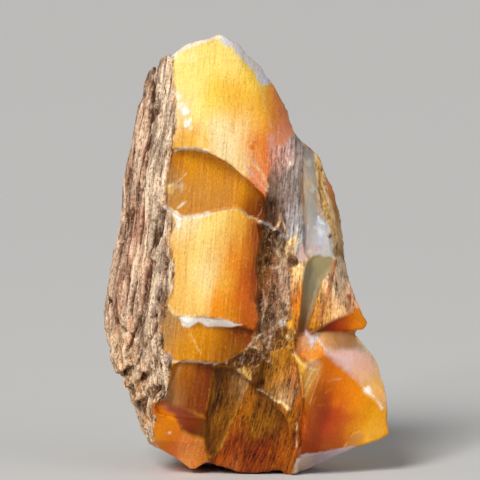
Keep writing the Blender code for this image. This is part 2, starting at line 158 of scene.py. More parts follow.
# Areas of the front in the order that they are laid down: kind of stone, outline, and the places of
# its colours
AREAS = {
    "matrix": ("web", [
        (3.8, 64.2), (13.2, 64.2), (16.2, 55.5), (14, 48), (13.5, 35.5), (14, 25), (13.8, -0.8),
        (2.2, -0.8), (-2.8, 26.5), (-7.5, 27.4), (-4.8, 28.5), (-1.8, 30), (0.8, 31.8), (2.8, 38.5),
        (2, 43), (2.8, 45.5), (2.2, 52.5), (3.5, 58),
    ], {
        "dark brown": [(5, 65.5)], "umber": [(6, 57.5), (5, 43), (7, 45), (6, 34)], "taupe": [(9, 59),
        (8, 47.5), (6, 37.5)], "brown": [(11, 52.5), (4, 49), (1, 30), (6, 32), (7, 34)],
        "pink brown": [(5, 47), (10, 49)], "rind tan": [(9, 43)], "tan": [(4, 34)],
        "gold brown": [(4, 28.5)], "honey": [(8, 28.5), (3, 52), (3, 58)], "amber": [(10, 32)],
        "peach": [(13, 55.5)], "pale peach": [(11, 58)],
    }),
    "grey_wood": ("wood", [
        (8.2, 75.5), (8.2, 83), (9.2, 85), (13.2, 84.5), (14.8, 81), (14, 68), (14.8, 56.8), (12.5, 52.5),
        (10, 58.2), (9, 64.2),
    ], {
        "pale taupe": [(11, 74), (12, 82)], "taupe": [(12.5, 70.5), (10, 68), (12, 65)],
        "lavender": [(9, 80.5)], "silver": [(11, 62), (13, 58)], "lilac": [(10, 62.5)], "slate": [(14, 58)],
    }),
    "agate": ("agate", [
        (14.2, 81), (16.2, 80.5), (18.8, 76.8), (20.2, 68), (21.8, 62.5), (22.8, 53.8), (12.2, 52.5),
        (13, 56.5), (14.2, 58), (14, 68),
    ], {
        "taupe": [(15, 80)], "silver": [(15.5, 77), (17, 70.5), (16, 66), (18, 58), (20, 55)],
        "chalk": [(15, 74), (17, 55), (15, 64.5)], "slate": [(16, 75), (17, 64), (17.5, 67)],
        # The white and blue white spots are a painted highlight on the agate band's steep face
        "sugar": [(16, 71.5)], "grey green": [(16, 69)], "white": [(19.5, 59.5)],
        "blue white": [(19, 61.5)], "lavender": [(14, 54.5)], "lilac": [(15, 56.5)],
    }),
    "sugary_band": ("sugar", [
        (16.5, 81.5), (18.2, 80), (19.8, 76), (20.8, 70), (22.2, 64.5), (24, 52.5), (22.8, 52.5),
        (21.5, 55.5), (20.8, 61.5), (18.5, 64.2),
    ], {
        "sugar": [(19, 72), (22, 58)], "brown": [(23, 53.5)],
    }),
    "wedge_sides": ("fibrous", [
        (10.8, 51), (16.2, 54), (25.5, 54), (31.2, 35.5), (13.2, 34), (10.8, 36.8),
    ], {
        "pale peach": [(12, 49.5), (24.5, 41)], "rust": [(12.5, 45)], "honey": [(12, 38.5), (18, 44),
        (17, 40.5)], "deep amber": [(14, 37), (16, 37.5)], "sugar": [(20, 48), (24, 48)],
        "chalk": [(22.5, 50)], "gold brown": [(24, 51.5)], "lavender": [(25, 45)], "peach": [(22, 40)],
        "coral": [(27, 41)],
    }),
    "wedge": ("agate", [
        (14.5, 52), (16.2, 53.8), (18.2, 54.2), (21.5, 53.8), (21.4, 50.8), (18.5, 47.8), (14.5, 34.2),
        (12.2, 34.2), (13.5, 42), (14, 48),
    ], {
        "olive grey": [(18, 52.5), (14, 40.5)], "grey green": [(15.5, 44)], "gold brown": [(14, 37.5)],
        "mauve": [(13, 35)],
    }),
    "top_facet": ("opal", [
        (-18.8, 103.8), (-15.2, 108.5), (-5.2, 111), (3.8, 103), (10.8, 93), (12.5, 85.5), (10.2, 83),
        (6.8, 78.5), (5.2, 73), (4.2, 67.5), (-19.2, 78), (-17.8, 87.2), (-17.8, 93.8),
    ], {
        "lemon": [(-3, 102), (-14, 97), (-12, 90.5)], "yellow": [(0, 98.5), (-8, 92)],
        "cream": [(-16, 90.5), (-8, 86), (-6, 81)], "honey gold": [(-15.5, 83)], "gold": [(-12, 82),
        (-3.5, 93.5), (-1, 91), (4, 89)], "pale peach": [(-2, 86), (-1, 78)], "orange": [(6, 88.5),
        (2, 81)], "coral": [(9, 90), (8, 84), (3, 73.5)], "deep orange": [(4.5, 80.5)],
        "lavender": [(7.5, 82)],
    }),
    "recess": ("opal", [
        (-18.8, 80.5), (-12.5, 80.6), (-10.2, 80), (-6.8, 78.2), (-3.5, 76.2), (4.5, 68.8), (4, 62.5),
        (-18, 61.8), (-20.2, 66), (-19.8, 73.8),
    ], {
        "amber": [(-14, 77), (-8, 75), (-1, 70.5)], "honey": [(-10.5, 70.5), (-5.5, 68.5), (-16, 67)],
        # The deep amber spot at the upper left is painted shade in the corner under the rind and the top
        # facet's edge
        "red brown": [(2, 67)], "deep amber": [(-19, 78)], "tan": [(-19, 72)],
    }),
    "block": ("opal", [
        (-20.2, 66.2), (-16.2, 63.5), (-2.2, 65.9), (-0.2, 64.1), (4.2, 62), (3.5, 58), (2.2, 52.5),
        (2.8, 45.5), (2, 43), (2.8, 35.5), (-19.2, 35.5), (-19.8, 42), (-18.2, 46.5), (-18.1, 52.2),
        (-19, 58), (-17.8, 62),
    ], {
        "cream": [(-15.5, 62), (-10, 50)], "warm gold": [(-16, 55.5), (-8.5, 52.5), (-5, 58), (-16, 44),
        (-14, 40)], "pale gold": [(-12, 55.5), (-8, 62), (-12, 45.5)], "orange": [(-3, 52.5), (-1, 56),
        (-6, 43)], "gold": [(-2, 61), (-5, 48)], "rust": [(1, 60), (0, 38.5)], "red brown": [(2, 56.5),
        (1, 50)], "deep orange": [(-1, 49), (-1.5, 43)], "sienna": [(1.5, 43)], "amber": [(-4, 39)],
    }),
    "step": ("opal", [
        (-21.8, 35.5), (-19.8, 42), (-18, 39.5), (-12, 39.2), (-6.8, 38.5), (-2.8, 37.5), (1.8, 35.8),
        (0.8, 31.8), (-1.8, 30), (-4.8, 28.5), (-7.5, 26.5), (-16.2, 27), (-20.8, 30.5),
    ], {
        "tan": [(-19, 35.5)], "amber": [(-17, 33), (-14, 30.5), (-10.5, 34)], "deep amber": [(-10, 30),
        (-6, 33)], "red brown": [(-3, 34)], "gold brown": [(-5, 30)],
    }),
    # Painted reflection: the step's downward-facing underside is painted white where it mirrors the light
    "step_underside_reflection": ("glassy", [
        (-16.8, 38.8), (-14.8, 39.2), (-6.8, 38.6), (-1.5, 36.8), (-5.2, 36.4), (-9.8, 36.6), (-12, 37.8),
        (-14.2, 36.5), (-16, 36.8),
    ], {
        "white": [(-9, 38)],
    }),
    "lower_face": ("opal", [
        (-20.5, 17.5), (-18.2, 27.2), (-16.2, 28.1), (-7.5, 27.2), (-8.5, 20.5), (-10, 13), (-11, 14.5),
        (-15.2, 16.2),
    ], {
        "deep amber": [(-17, 25.5)], "bronze": [(-17, 20), (-12, 24)], "red brown": [(-14, 18)],
        "dark red": [(-9, 25)], "tan": [(-19, 18)],
    }),
    "brown_fibres": ("fibrous", [
        (-8.8, 27.4), (-3, 26.2), (-1, 25), (1.2, 22.5), (-1.2, 17.5), (-4.2, 11.8), (-6.2, 6.8),
        (-8.2, 3.5), (-11, 5), (-10.8, 9.2), (-10, 14.5), (-8.5, 20.5),
    ], {
        "umber": [(-6, 25), (-4, 20)], "brown": [(-4, 24), (-8.5, 7), (-6, 10.5)], "dark brown": [(-7, 22),
        (-9, 17)], "gold brown": [(-5, 15), (-10, 10)], "tan": [(-1, 23.5)],
    }),
    "mauve_band": ("glassy", [
        (-23.5, 17.5), (-19.8, 18), (-15.2, 16.2), (-11, 14.5), (-9.8, 13.5), (-10.2, 8), (-15.8, 10),
        (-18.5, 14.6),
    ], {
        # The dark red spot is painted shadow below the ledge over this band
        "mauve": [(-18, 16), (-14, 15)], "dark red": [(-14, 12)], "brown": [(-11, 11)],
        "pink brown": [(-22, 17)],
    }),
    "middle_dish": ("fibrous", [
        (0.8, 23), (6.5, 18.2), (10, 13.2), (11, 8), (11, -1.5), (-9.8, -1.5), (-10, 3.5), (-8.2, 4),
        (-6.2, 6.8), (-4.2, 11.8), (-1.2, 17.5),
    ], {
        "umber": [(2, 20.5)], "brown": [(5, 17), (8, 12)], "deep amber": [(-0.5, 17.5)],
        "gold brown": [(1, 12.5), (5, 13)], "sienna": [(9, 5.5), (-5, 1)], "bronze": [(-3, 12), (4, 1.5)],
        # The mauve spot is a painted reflection on a small facet that faces down
        "dark red": [(4, 6), (-2, 7.5)], "red brown": [(-6, 5), (0, 2), (7, 3.5)], "mauve": [(-4, 2)],
    }),
    "left_tip": ("glassy", [
        (-23.5, 17.2), (-18.5, 14.6), (-15.8, 10), (-16.8, 6.5), (-15.8, -0.8), (-26.8, -0.8), (-23.8, 6.5),
        (-23, 10),
    ], {
        "rust": [(-22, 16), (-19, 8)], "orange": [(-19, 11), (-22, 11.5)], "coral": [(-18, 5.5)],
        "honey": [(-22, 7)], "deep orange": [(-20, 5.5)],
    }),
    "foot_tip": ("opal", [
        (-15.8, 10), (-10.5, 8.5), (-9.8, 2.5), (-10, -1.5), (-16.8, -1.5), (-17, 6.5),
    ], {
        "rust": [(-14, 8)], "orange": [(-15, 5), (-13, 1.5)], "deep orange": [(-12, 3.5)],
        "peach": [(-15, 2.5)], "honey": [(-11, 5.5)], "coral": [(-16, 7)],
    }),
    "broken_step": ("fibrous", [
        (9, 31.8), (11.5, 29.8), (12.8, 25), (14.2, 20.5), (13.5, 15.5), (11.2, 16), (8.2, 15.8), (4, 20),
        (0.8, 22.8), (2.2, 25.5), (5.2, 30),
    ], {
        "honey": [(7, 28.5), (7, 22)], "gold brown": [(9.5, 29.5)], "brown": [(5, 24), (6, 26.5)],
        "pink brown": [(11, 25)], "amber": [(10, 27)], "red brown": [(12, 20)], "umber": [(3, 24), (7, 19)],
        "tan": [(11, 18.5)], "sugar": [(9, 17.5)],
    }),
    "shaded_column": ("fibrous", [
        (6.2, 18.2), (11.2, 16.8), (14, 21.8), (14.5, 11.8), (13, 5), (13, -1.5), (11, -1.5), (10.8, 8),
        (9.8, 13.2), (8.2, 15.8),
    ], {
        "gold brown": [(11, 14), (10.5, 0.5)], "bronze": [(12, 8)], "sienna": [(13, 18)],
        "red brown": [(14, 10.5), (11.5, 4)],
    }),
    "lobe_face": ("glassy", [
        (13.5, 21.8), (14.2, 25), *LOBE_RIDGE, (36.2, 15.8), (36.2, 8), (20.8, 4.8), (13, 3.8), (14, 11.8),
    ], {
        "coral": [(16, 27.5)], "orange": [(14.5, 18), (19, 29), (22.5, 24.5), (24.5, 22), (26, 17)],
        "sienna": [(17, 23)], "deep orange": [(21, 27.5), (23, 20)], "rust": [(20, 20), (25, 11),
        (14.5, 15.5), (15, 12)], "red brown": [(18, 17.5), (15, 8)], "fire red": [(18, 14.5)],
        "red orange": [(22, 13)], "bronze": [(22, 8)], "amber": [(28, 13), (33, 12.5)], "gold": [(32, 10)],
        "honey": [(34, 10.5)],
    }),
    "lobe_shoulder": ("glassy", [
        (17.2, 36), (26.2, 36.5), (31.2, 31.8), (36.2, 25.5), (37, 15.8), *LOBE_RIDGE[::-1],
    ], {
        "tan": [(27, 33.5), (34.5, 16)], "grey beige": [(30, 31), (32, 28)], "honey": [(20.5, 32),
        (28, 23)], "peach": [(19, 33), (33, 18), (19.5, 31), (32, 25.5)], "gold brown": [(22, 33),
        (26, 35)], "lavender": [(22.5, 29)], "honey gold": [(33, 21.5)], "warm gold": [(30, 20.5)],
    }),
    "lobe_corner": ("opal", [
        (11.5, 29.8), (13, 34.8), (17.5, 35.8), (18.8, 30.8), (14.2, 25),
    ], {
        "sienna": [(13, 31.5), (13, 29)], "lavender": [(14.5, 31.5)], "peach": [(17, 32), (14.5, 33.5)],
        "honey": [(18, 34)], "orange": [(18, 30)], "gold brown": [(14, 26.5)], "gold": [(15, 29.5)],
    }),
    # Painted reflection: the lilac and grey lilac of the lobe's downward-facing underside; its chalk spot is
    # a painted highlight
    "lobe_underside": ("agate", [
        (12.5, 3.8), (16.2, 5), (24.5, 6.1), (27.2, 7), (24.5, -2), (10.8, -2),
    ], {
        "grey lilac": [(14.5, 2), (17, 3)], "lilac": [(19.5, 4)], "chalk": [(13, 3.5)], "tan": [(13, 1)],
    }),
    "orange_beak": ("glassy", [
        (14.8, 34), (17.8, 36), (21.5, 38), (25.8, 39.8), (27.5, 40.8), (32, 38), (30.8, 35), (17.8, 35),
    ], {
        "brown": [(17, 35.5)], "fire red": [(21, 37)], "red orange": [(24.5, 38)], "orange": [(27.5, 38.5),
        (28, 36.5)],
    }),
    "tan_rim": ("agate", [
        (18.2, 80.5), (19.8, 78.5), (23.2, 69.2), (25.8, 52.5), (23.8, 52.5), (22, 64.5), (20.5, 70),
        (19.5, 76),
    ], {
        "honey": [(20, 75.5), (22, 68.5)], "coral": [(21, 71)], "brown": [(22, 67), (24, 55.5)],
        "tan": [(23, 63)], "sugar": [(24, 58.5)], "dark brown": [(25, 53)],
    }),
    "dark_wood": ("wood", [
        (5, 73.5), (5.8, 76.8), (5.2, 80), (7.5, 81.5), (9.2, 80.5), (9.8, 76.8), (9.2, 68), (10, 58.2),
        (7, 60.8), (3.8, 62.5),
    ], {
        "taupe": [(7, 77), (8, 68.5)], "brown": [(6, 72)], "coral": [(6, 79)], "lavender": [(8, 78.5)],
        "pale taupe": [(8.5, 72)], "dark brown": [(5, 67), (4.5, 64)], "umber": [(7, 66)],
    }),
    "arrow": ("glassy", [
        (11.2, 30), (13, 28.5), (14.2, 26.5), (15, 24), (14.2, 23.8),
    ], {
        "honey": [(12.5, 28.5)], "gold": [(13.5, 27.5)],
    }),
    "gold_chip": ("glassy", [
        (9.5, 37.2), (10.2, 38), (11.2, 37.8), (11, 36), (10, 35.8),
    ], {
        "gold": [(10, 37)],
    }),
    "lobe_arc": ("agate", [
        (19.8, 31.2), (21.8, 30.2), (23.5, 30.8), (26.2, 30.8), (28.8, 30.2), (30.8, 28.8), (32.2, 25.5),
        (28.5, 22.2), (26, 24.2), (23.5, 26.5), (20.5, 29.2),
    ], {
        "lavender": [(30, 28)], "peach": [(29, 23.5)], "rose": [(24.5, 27)],
    }),
    "lobe_cup": ("agate", [
        (24, 6.2), (26.5, 9.5), (28.5, 10.2), (29.5, 9.2), (28.5, 7.8), (26.8, 6.8),
    ], {
        "gold brown": [(25.5, 7)], "sienna": [(27, 9)], "honey gold": [(28, 9)],
    }),
    "sunny_end": ("glassy", [
        (30.2, 10.2), (31.8, 11.2), (34.2, 10.5), (36.2, 8.8), (34.8, 7.2), (31.2, 7.8),
    ], {
        "gold": [(32, 10)], "amber": [(34, 9)], "honey": [(31, 9)],
    }),
    "lobe_hackles": ("opal", [
        (14, 27.5), (16.2, 28.8), (18.5, 27.5), (18, 24.5), (16.2, 21), (14.5, 17.5), (13.8, 22),
    ], {
        "warm gold": [(15, 26.5)], "peach": [(17, 26.5)], "orange": [(16, 24)], "gold": [(14.5, 23.5)],
        "honey": [(15, 21)], "rust": [(14, 19)],
    }),
}

# How softly an area's edge fades, in millimetres, and the areas that fade further
EDGE_MM = 0.35
SOFT_EDGES_MM = {"mauve_band": 1, "brown_fibres": 1.1, "foot_tip": 0.9, "lobe_arc": 1, "lobe_cup": 0.7,
                 "grey_wood": 1, "lobe_hackles": 1.1}

# Thin marks: a line, its width in millimetres, its colour and how strongly it is laid down
LINES = [
    ([(-18.8, 103.8), (-17.2, 105.2), (-14.2, 107), (-7.5, 109), (-5.2, 108)], 1.6, "chalk", 0.9),
    ([(-5.2, 108), (-2.8, 106.8), (-0.2, 103.8), (2.8, 101), (4.8, 98)], 2.4, "blue white", 0.8),
    # Painted highlight: a bright line along the top facet's lower edge
    ([(-17.8, 80.2), (-15.5, 80.8), (-12.5, 80.6), (-9.8, 80)], 0.5, "chalk", 0.9),
    ([(3.8, 96.5), (4.5, 90.5), (6.2, 86.2)], 0.3, "pale peach", 0.35),
    ([(1.2, 84.8), (3.8, 76.8)], 0.3, "peach", 0.4),
    ([(-1, 78.5), (0.2, 76), (2.5, 72.8), (5, 70.2)], 0.3, "lavender", 0.9),
    ([(0.2, 80), (2.2, 76.8), (3.8, 73.2), (5.2, 71.5)], 0.3, "lavender", 0.7),
    ([(1.2, 77), (3.5, 75), (5.2, 71)], 0.3, "pale peach", 0.6),
    # Painted highlights: the next two lines are the lit top ledge of the block
    ([(-9.5, 64.5), (-5.5, 65.2), (-2.2, 65.8), (0.2, 64), (3.8, 62.2)], 0.3, "cream", 0.7),
    ([(-20, 66), (-17.8, 64.5), (-16.2, 63.5), (-12.8, 63.9), (-9.5, 64.5)], 0.9, "chalk", 0.9),
    ([(-19.8, 42), (-17.8, 39.5), (-12, 39.2)], 0.5, "cream", 0.6),
    ([(-20.2, 29.5), (-19.2, 27.8), (-16.2, 27.9), (-12, 27.8), (-7.5, 27.2)], 0.3, "chalk", 0.8),
    # Painted highlight: a bright line along a ridge above the middle dish
    ([(7, 18.2), (8.8, 17.5), (10.5, 16)], 0.4, "cream", 0.8),
    ([(11.5, 29.8), (13, 27.8), (14.8, 26.5), (17.2, 25.8)], 0.3, "cream", 0.8),
    ([(14.8, 26.5), (16, 27.2), (17.5, 27.8)], 0.7, "lavender", 0.6),
    ([(16.2, 23.2), (15.2, 21.2), (14.2, 19)], 0.5, "warm gold", 0.6),
    ([(15, 26.5), (16.2, 25.8), (17.8, 26)], 0.3, "cream", 0.7),
    ([(16, 25), (15, 23), (14.2, 21.2)], 0.1, "cream", 0.7),
    ([(17.5, 25), (16.5, 23.2), (15.2, 21.5)], 0.1, "cream", 0.5),
    ([(18, 24.5), (16.8, 21.2), (15.5, 17.5)], 0.1, "peach", 0.5),
    ([(18.8, 23.2), (17.8, 20.5), (16.5, 17.5)], 0.1, "coral", 0.5),
    # Painted highlight: a thin bright line along the crease beside the lobe
    ([(12.2, 12.5), (12.5, 9.5), (12.2, 6.5)], 0.2, "cream", 0.6),
    (LOBE_RIDGE[:5], 0.4, "lavender", 0.6),
    # Painted highlight: the tail of the white glint on the lobe's face
    ([(29.2, 21), (30.5, 19.8), (31.8, 18.8), (32.8, 17.5), (33.8, 15.8)], 0.2, "white", 0.9),
    ([(27.5, 33.5), (32, 28.5), (33.5, 23.5), (34.8, 18), (35.2, 15)], 0.5, "pale peach", 0.5),
    ([(14, 18.5), (13.2, 14.2), (13.2, 9.2), (13.5, 5)], 0.7, "red brown", 0.7),
    ([(11.5, 29.5), (13.2, 27.8), (14.8, 25.8)], 0.3, "yellow", 0.8),
    ([(17.8, 34.2), (18.8, 32.2), (20.2, 30)], 0.6, "lavender", 0.6),
    ([(12.8, 33), (13, 30.8), (14.2, 28.2)], 1.2, "sienna", 0.7),
    ([(14.2, 29.8), (16.2, 29.5), (18.2, 30.2)], 1.8, "orange", 0.6),
    # Painted highlight: blue white on the lobe corner's upward-facing facet
    ([(14.8, 35.2), (15.5, 33.5), (16, 31.8)], 0.7, "blue white", 0.6),
    ([(16.8, 35), (18, 32.8), (19.8, 30.5)], 0.3, "chalk", 0.6),
    # Painted shade: a red brown band down the block's right edge, where it turns away from the light
    ([(2, 61.5), (2.5, 56.5), (2, 50), (1.8, 43.5)], 1.8, "red brown", 0.55),
    # The lilac line along the lobe's lower edge is part of the underside's painted reflection
    ([(13.5, 4.5), (20.8, 5.5), (26.5, 6.5)], 0.4, "lilac", 0.7),
    ([(12.9, 69), (12.9, 62.5)], 0.2, "slate", 0.7),
    ([(14, 62), (13.9, 59), (14.2, 56)], 0.2, "slate", 0.8),
    ([(12.2, 75.5), (12.2, 68), (12.5, 60)], 0.3, "silver", 0.5),
    ([(14.2, 78), (14.2, 69.2), (14.5, 61.8)], 0.4, "rind tan", 0.6),
    ([(17.5, 76.8), (17.5, 70.5), (17.8, 65)], 0.5, "rind tan", 0.6),
    ([(15.2, 61.8), (15, 59), (14.8, 56.5)], 0.3, "white", 0.5),
    # Painted highlight: the blue white line down the agate band's steep face
    ([(18.2, 62.5), (18.5, 59), (18, 55.5)], 2, "blue white", 0.7),
    ([(6.2, 83), (8.2, 80.5), (10.2, 77.2)], 2.4, "lavender", 0.4),
    ([(18, 75), (18.1, 70.5), (18.5, 66)], 0.4, "brown", 0.8),
    # Painted highlight: the white line at the top of the agate band's highlight
    ([(17.8, 63.8), (18.2, 62.5), (19.5, 62), (20.5, 62.8)], 0.4, "white", 0.9),
    ([(21.8, 52.5), (21, 48), (19.5, 43), (18, 38.5)], 1.1, "pink brown", 0.8),
    ([(17.8, 17), (20.8, 17.4), (24.5, 16.5)], 0.1, "coral", 0.4),
    ([(20.2, 22.8), (21.8, 23.5), (23.5, 23.2)], 0.1, "lavender", 0.6),
    ([(19.5, 20), (21.2, 21)], 0.1, "coral", 0.6),
    ([(24, 6.2), (25.2, 8.2), (26.5, 9.8), (28.5, 10.5)], 0.1, "peach", 0.6),
    ([(23.5, 30), (22.5, 32.5), (21, 35)], 0.1, "mauve", 0.3),
    ([(-14.2, 35), (-12.8, 32.5), (-11.5, 30)], 0.2, "pale peach", 0.5),
    ([(-8.5, 26.5), (-8.8, 21.8), (-10, 16)], 0.4, "gold brown", 0.7),
    ([(-19.8, 18.5), (-18.2, 23), (-16.2, 27.5)], 0.6, "tan", 0.6),
    ([(-20.8, 41.5), (-19.8, 40), (-18, 38.2)], 1.2, "tan", 0.5),
    ([(-19.8, 71.2), (-17.8, 72), (-16, 73.5), (-15.2, 74.5)], 0.2, "chalk", 0.6),
    ([(-17.2, 66), (-16, 67), (-15, 67.5)], 0.3, "chalk", 0.8),
    # Painted highlight: a white triangle at the left end of the block's top ledge
    ([(-17.8, 64.8), (-17, 63.2), (-16.8, 61.5)], 1, "white", 0.8),
    ([(13.2, 46.8), (12.8, 41.8), (12.2, 36.8)], 0.6, "orange", 0.6),
    ([(17.8, 78), (18.5, 73), (19, 68), (20.2, 64.2), (21.8, 60)], 0.8, "gold", 0.5),
    ([(12.2, 80.5), (14.2, 82.2), (15.2, 80.5)], 0.3, "lilac", 0.6),
    ([(4.8, 80.5), (6.8, 79), (8, 76)], 0.2, "lavender", 0.5),
    ([(6.2, 81.5), (8.2, 80.5), (11.2, 78.8)], 0.2, "lilac", 0.5),
]

# Raised veins, as thin marks with their height in millimetres at the end
VEINS = [
    ([(3.8, 62.2), (5.8, 61.2), (8, 59.8), (10.2, 58)], 1, "pale taupe", 0.9, 0.35),
    ([(8.2, 64.5), (9.2, 61.5), (10.2, 58.8)], 0.25, "rind pale", 0.8, 0.35),
    ([(7, 60.8), (8, 62.5), (8.2, 64.5)], 0.3, "rind tan", 0.7, 0.3),
    ([(5.5, 56.2), (7, 55.5), (8.2, 54), (9.2, 52)], 0.25, "rind pale", 0.9, 0.35),
    ([(3.2, 53.5), (4.8, 52), (6.8, 50.8), (8, 51.5)], 0.25, "rind pale", 0.8, 0.35),
    ([(9.8, 55.5), (10, 53), (11.5, 51), (13.2, 51.5)], 0.25, "rind cream", 0.8, 0.35),
    ([(8, 51), (8.5, 47), (9.2, 43)], 0.25, "rind pale", 0.6, 0.35),
    ([(10.8, 50), (10.5, 46.5), (9.8, 42.5), (9, 38.5)], 0.25, "rind pale", 0.7, 0.35),
    ([(3.8, 45.5), (4.8, 42), (3.8, 38.5)], 0.25, "rind tan", 0.7, 0.35),
    ([(0.5, 31.8), (2, 33.8), (3.8, 34.8)], 0.25, "rind cream", 0.8, 0.35),
    ([(0.5, 31.8), (2.8, 31), (4.8, 28), (6, 27.5)], 0.25, "rind pale", 0.8, 0.35),
    ([(5.8, 34.2), (5.2, 30.5), (6, 27.5)], 0.25, "rind pale", 0.7, 0.35),
    ([(-2.2, 26), (-0.8, 24.5), (1, 23.5)], 0.25, "pale peach", 0.8, 0.35),
    ([(2.2, 21.2), (4, 20.5), (6.2, 18.8)], 0.15, "rind pale", 0.6, 0.25),
]

# Hollows of the web, painted dark brown, partly the matrix's own colour and partly painted shade: middle,
# half width, half height, depth, all but the middle in millimetres
HOLLOWS = [
    ((5.2, 66), 2.2, 2.6, 0.6), ((6.2, 58), 2.4, 2.8, 0.7), ((9, 56.2), 0.9, 2, 0.5),
    ((11.5, 52.5), 1.3, 1.4, 0.7), ((5.2, 52.5), 1.6, 1.2, 0.5), ((6.8, 45), 0.6, 2.4, 0.4),
    ((5.8, 39), 1.6, 2, 0.5), ((8.8, 41.5), 1, 1.3, 0.4), ((-1.8, 28.8), 2.2, 1.6, 0.5),
    ((1.8, 28.8), 1.8, 2, 0.5), ((3.8, 22.5), 0.8, 1, 0.3),
    ((9.8, 39.8), 0.8, 0.8, 0.4), ((6.8, 66.8), 1, 1.6, 0.3),
]

# Round marks: middle, radius in millimetres, colour and strength
DOTS = [
    # Painted highlights: the first four white dots are glints on the top facet's left side
    ((-17.5, 93.8), 1.2, "white", 0.8), ((-16, 90.2), 2, "white", 0.9),
    ((-15, 87.8), 1.5, "white", 0.8), ((-13.5, 85.8), 1.2, "white", 0.8),
    ((4.2, 98.5), 2.2, "blue white", 0.8), ((1.2, 81), 1.6, "deep orange", 0.7),
    ((11.2, 57.5), 1.6, "pale peach", 0.9), ((11.2, 55), 1, "sugar", 0.8),
    ((20.8, 59), 0.9, "brown", 0.9), ((20, 59), 0.5, "gold", 0.9),
    ((8.5, 37.5), 1, "chalk", 0.8), ((9.8, 34), 0.6, "cream", 0.8),
    ((25.5, 43.8), 0.9, "sienna", 0.8), ((15.5, 72), 1.2, "sugar", 0.5),
    ((16.5, 70.8), 1, "chalk", 0.5), ((15.5, 77.2), 1.2, "chalk", 0.4),
    ((17.8, 56), 1, "lavender", 0.6), ((15.5, 55), 1, "chalk", 0.7),
    # Painted highlight: the white and blue white dots on the agate band's steep face
    ((19, 60.2), 1.8, "white", 0.8), ((18.8, 57.8), 1.3, "blue white", 0.8),
    ((13.8, 55.2), 1.2, "sugar", 0.6), ((7.8, 82.5), 1.8, "coral", 0.6),
    # Painted highlights: a glint on the left tip, and a blue white glint on the lobe's corner
    ((-19.2, 10.2), 0.7, "chalk", 0.7), ((16, 33.5), 1.2, "blue white", 0.8),
    # Painted highlight: the first dot is the white glint on the lobe's face
    ((29.8, 20.8), 1.2, "white", 0.9), ((-0.5, 25), 1.6, "warm gold", 0.7),
    # Painted reflection: the first dot, lilac grey, on the small facet under the step's left end
    ((-18.8, 28.8), 1.3, "lilac grey", 0.7), ((-19, 70.5), 1.5, "pale gold", 0.5),
    ((-17.2, 71.2), 1.4, "rind pale", 0.5), ((10.8, 77), 0.7, "chalk", 0.8),
]

# Relief of the plainer kinds of stone: along the grain or the fibres, size of the waves in millimetres
# across, back and up, layers, seed, whether they have sharp crests, and their height in millimetres
PLAIN_RELIEF = {
    "opal": [
        ("grain", (9, 9, 12), 2, 31, False, 0.35),
        ("fibre", (1, 4, 24), 1, 33, False, 0.06),
    ],
    "glassy": [("grain", (7, 7, 7), 2, 34, False, 0.4)],
    "fibrous": [
        ("fibre", (1.4, 12, 22), 1, 25, True, 0.24),
        ("fibre", (1.1, 9, 7), 1, 26, False, 0.16),
    ],
    "wood": [("fibre", (1.3, 12, 18), 1, 62, True, 0.5)],
    "sugar": [("grain", (0.9, 0.9, 1.2), 2, 61, False, 0.9)],
    "agate": [("grain", (2.5, 2.5, 4), 1, 63, False, 0.12)],
}

# Patterns in the material: along the grain or the fibres, waves in a millimetre across, back and up,
# fine layers and how rough they are
PATTERNS = {
    "lines": ("fibre", (2.4, 0.3, 0.08), 2, 0.6),
    "fibres": ("fibre", (2.6, 0.12, 0.14), 2, 0.6),
    "front threads": ("grain", (2.1, 0.3, 0.08), 3, 0.6),
    "side threads": ("grain", (0.3, 2.1, 0.08), 3, 0.6),
    "specks": ("grain", (2.1, 2.1, 1.3), 4, 0.75),
    "flecks": ("fibre", (1.8, 0.2, 0.35), 3, 0.75),
    "patches": ("grain", (0.35, 0.35, 0.2), 3, 0.6),
    "mottles": ("fibre", (0.6, 0.06, 0.3), 2, 0.6),
}

# How much the patterns brighten and darken the paint, and in which kind of stone
SWINGS = [
    ("lines", "lined", 0.3), ("fibres", "fibrous", 1.7), ("flecks", "split", 2),
    ("mottles", "fibrous", 1.8), ("threads", "rind", 3.2), ("specks", "coarse", 3.4),
    ("specks", "fibrous", 1.8), ("threads", "fibrous", 1.4), ("specks", "gloss", 0.7),
    ("specks", "lined", 0.7),
]

# Tints: colour, pattern, where it starts and is full, kind of stone, strength and how it is laid on
TINTS = [
    ("line shade", "lines", 0.52, 0.34, "lined", 0.42, "MULTIPLY"),
    ("pale gold", "lines", 0.56, 0.72, "lined", 0.16, "MIX"),
    ("pale gold", "specks", 0.58, 0.72, "lined", 0.3, "MIX"),
    ("gold", "flecks", 0.56, 0.74, "fibrous", 0.24, "MIX"),
    ("line shade", "flecks", 0.46, 0.32, "fibrous", 0.6, "MULTIPLY"),
    ("rind cream", "specks", 0.56, 0.68, "rind", 0.6, "MIX"),
    ("rind pale", "specks", 0.60, 0.74, "web", 0.35, "MIX"),
    ("rind tan", "veins", 0.08, 0.01, "broken up", 0.5, "MIX"),
    ("dark brown", "specks", 0.46, 0.34, "web", 0.5, "MIX"),
    ("rind dark", "specks", 0.44, 0.33, "rind", 0.6, "MIX"),
    ("rind dark", "threads", 0.42, 0.30, "rind", 0.6, "MIX"),
]

# The web's fine veins: how many there are in a millimetre across, back and up, how far slow patches bend
# them, and the flecks that break them up. The patches break up the opal's fine lines too.
VEINS_PER_MM = (0.6, 0.6, 0.32)
VEIN_BEND = 3.0
VEIN_FLECKS = (0.44, 0.58)
LINED_PATCHES = (0.25, 0.6)

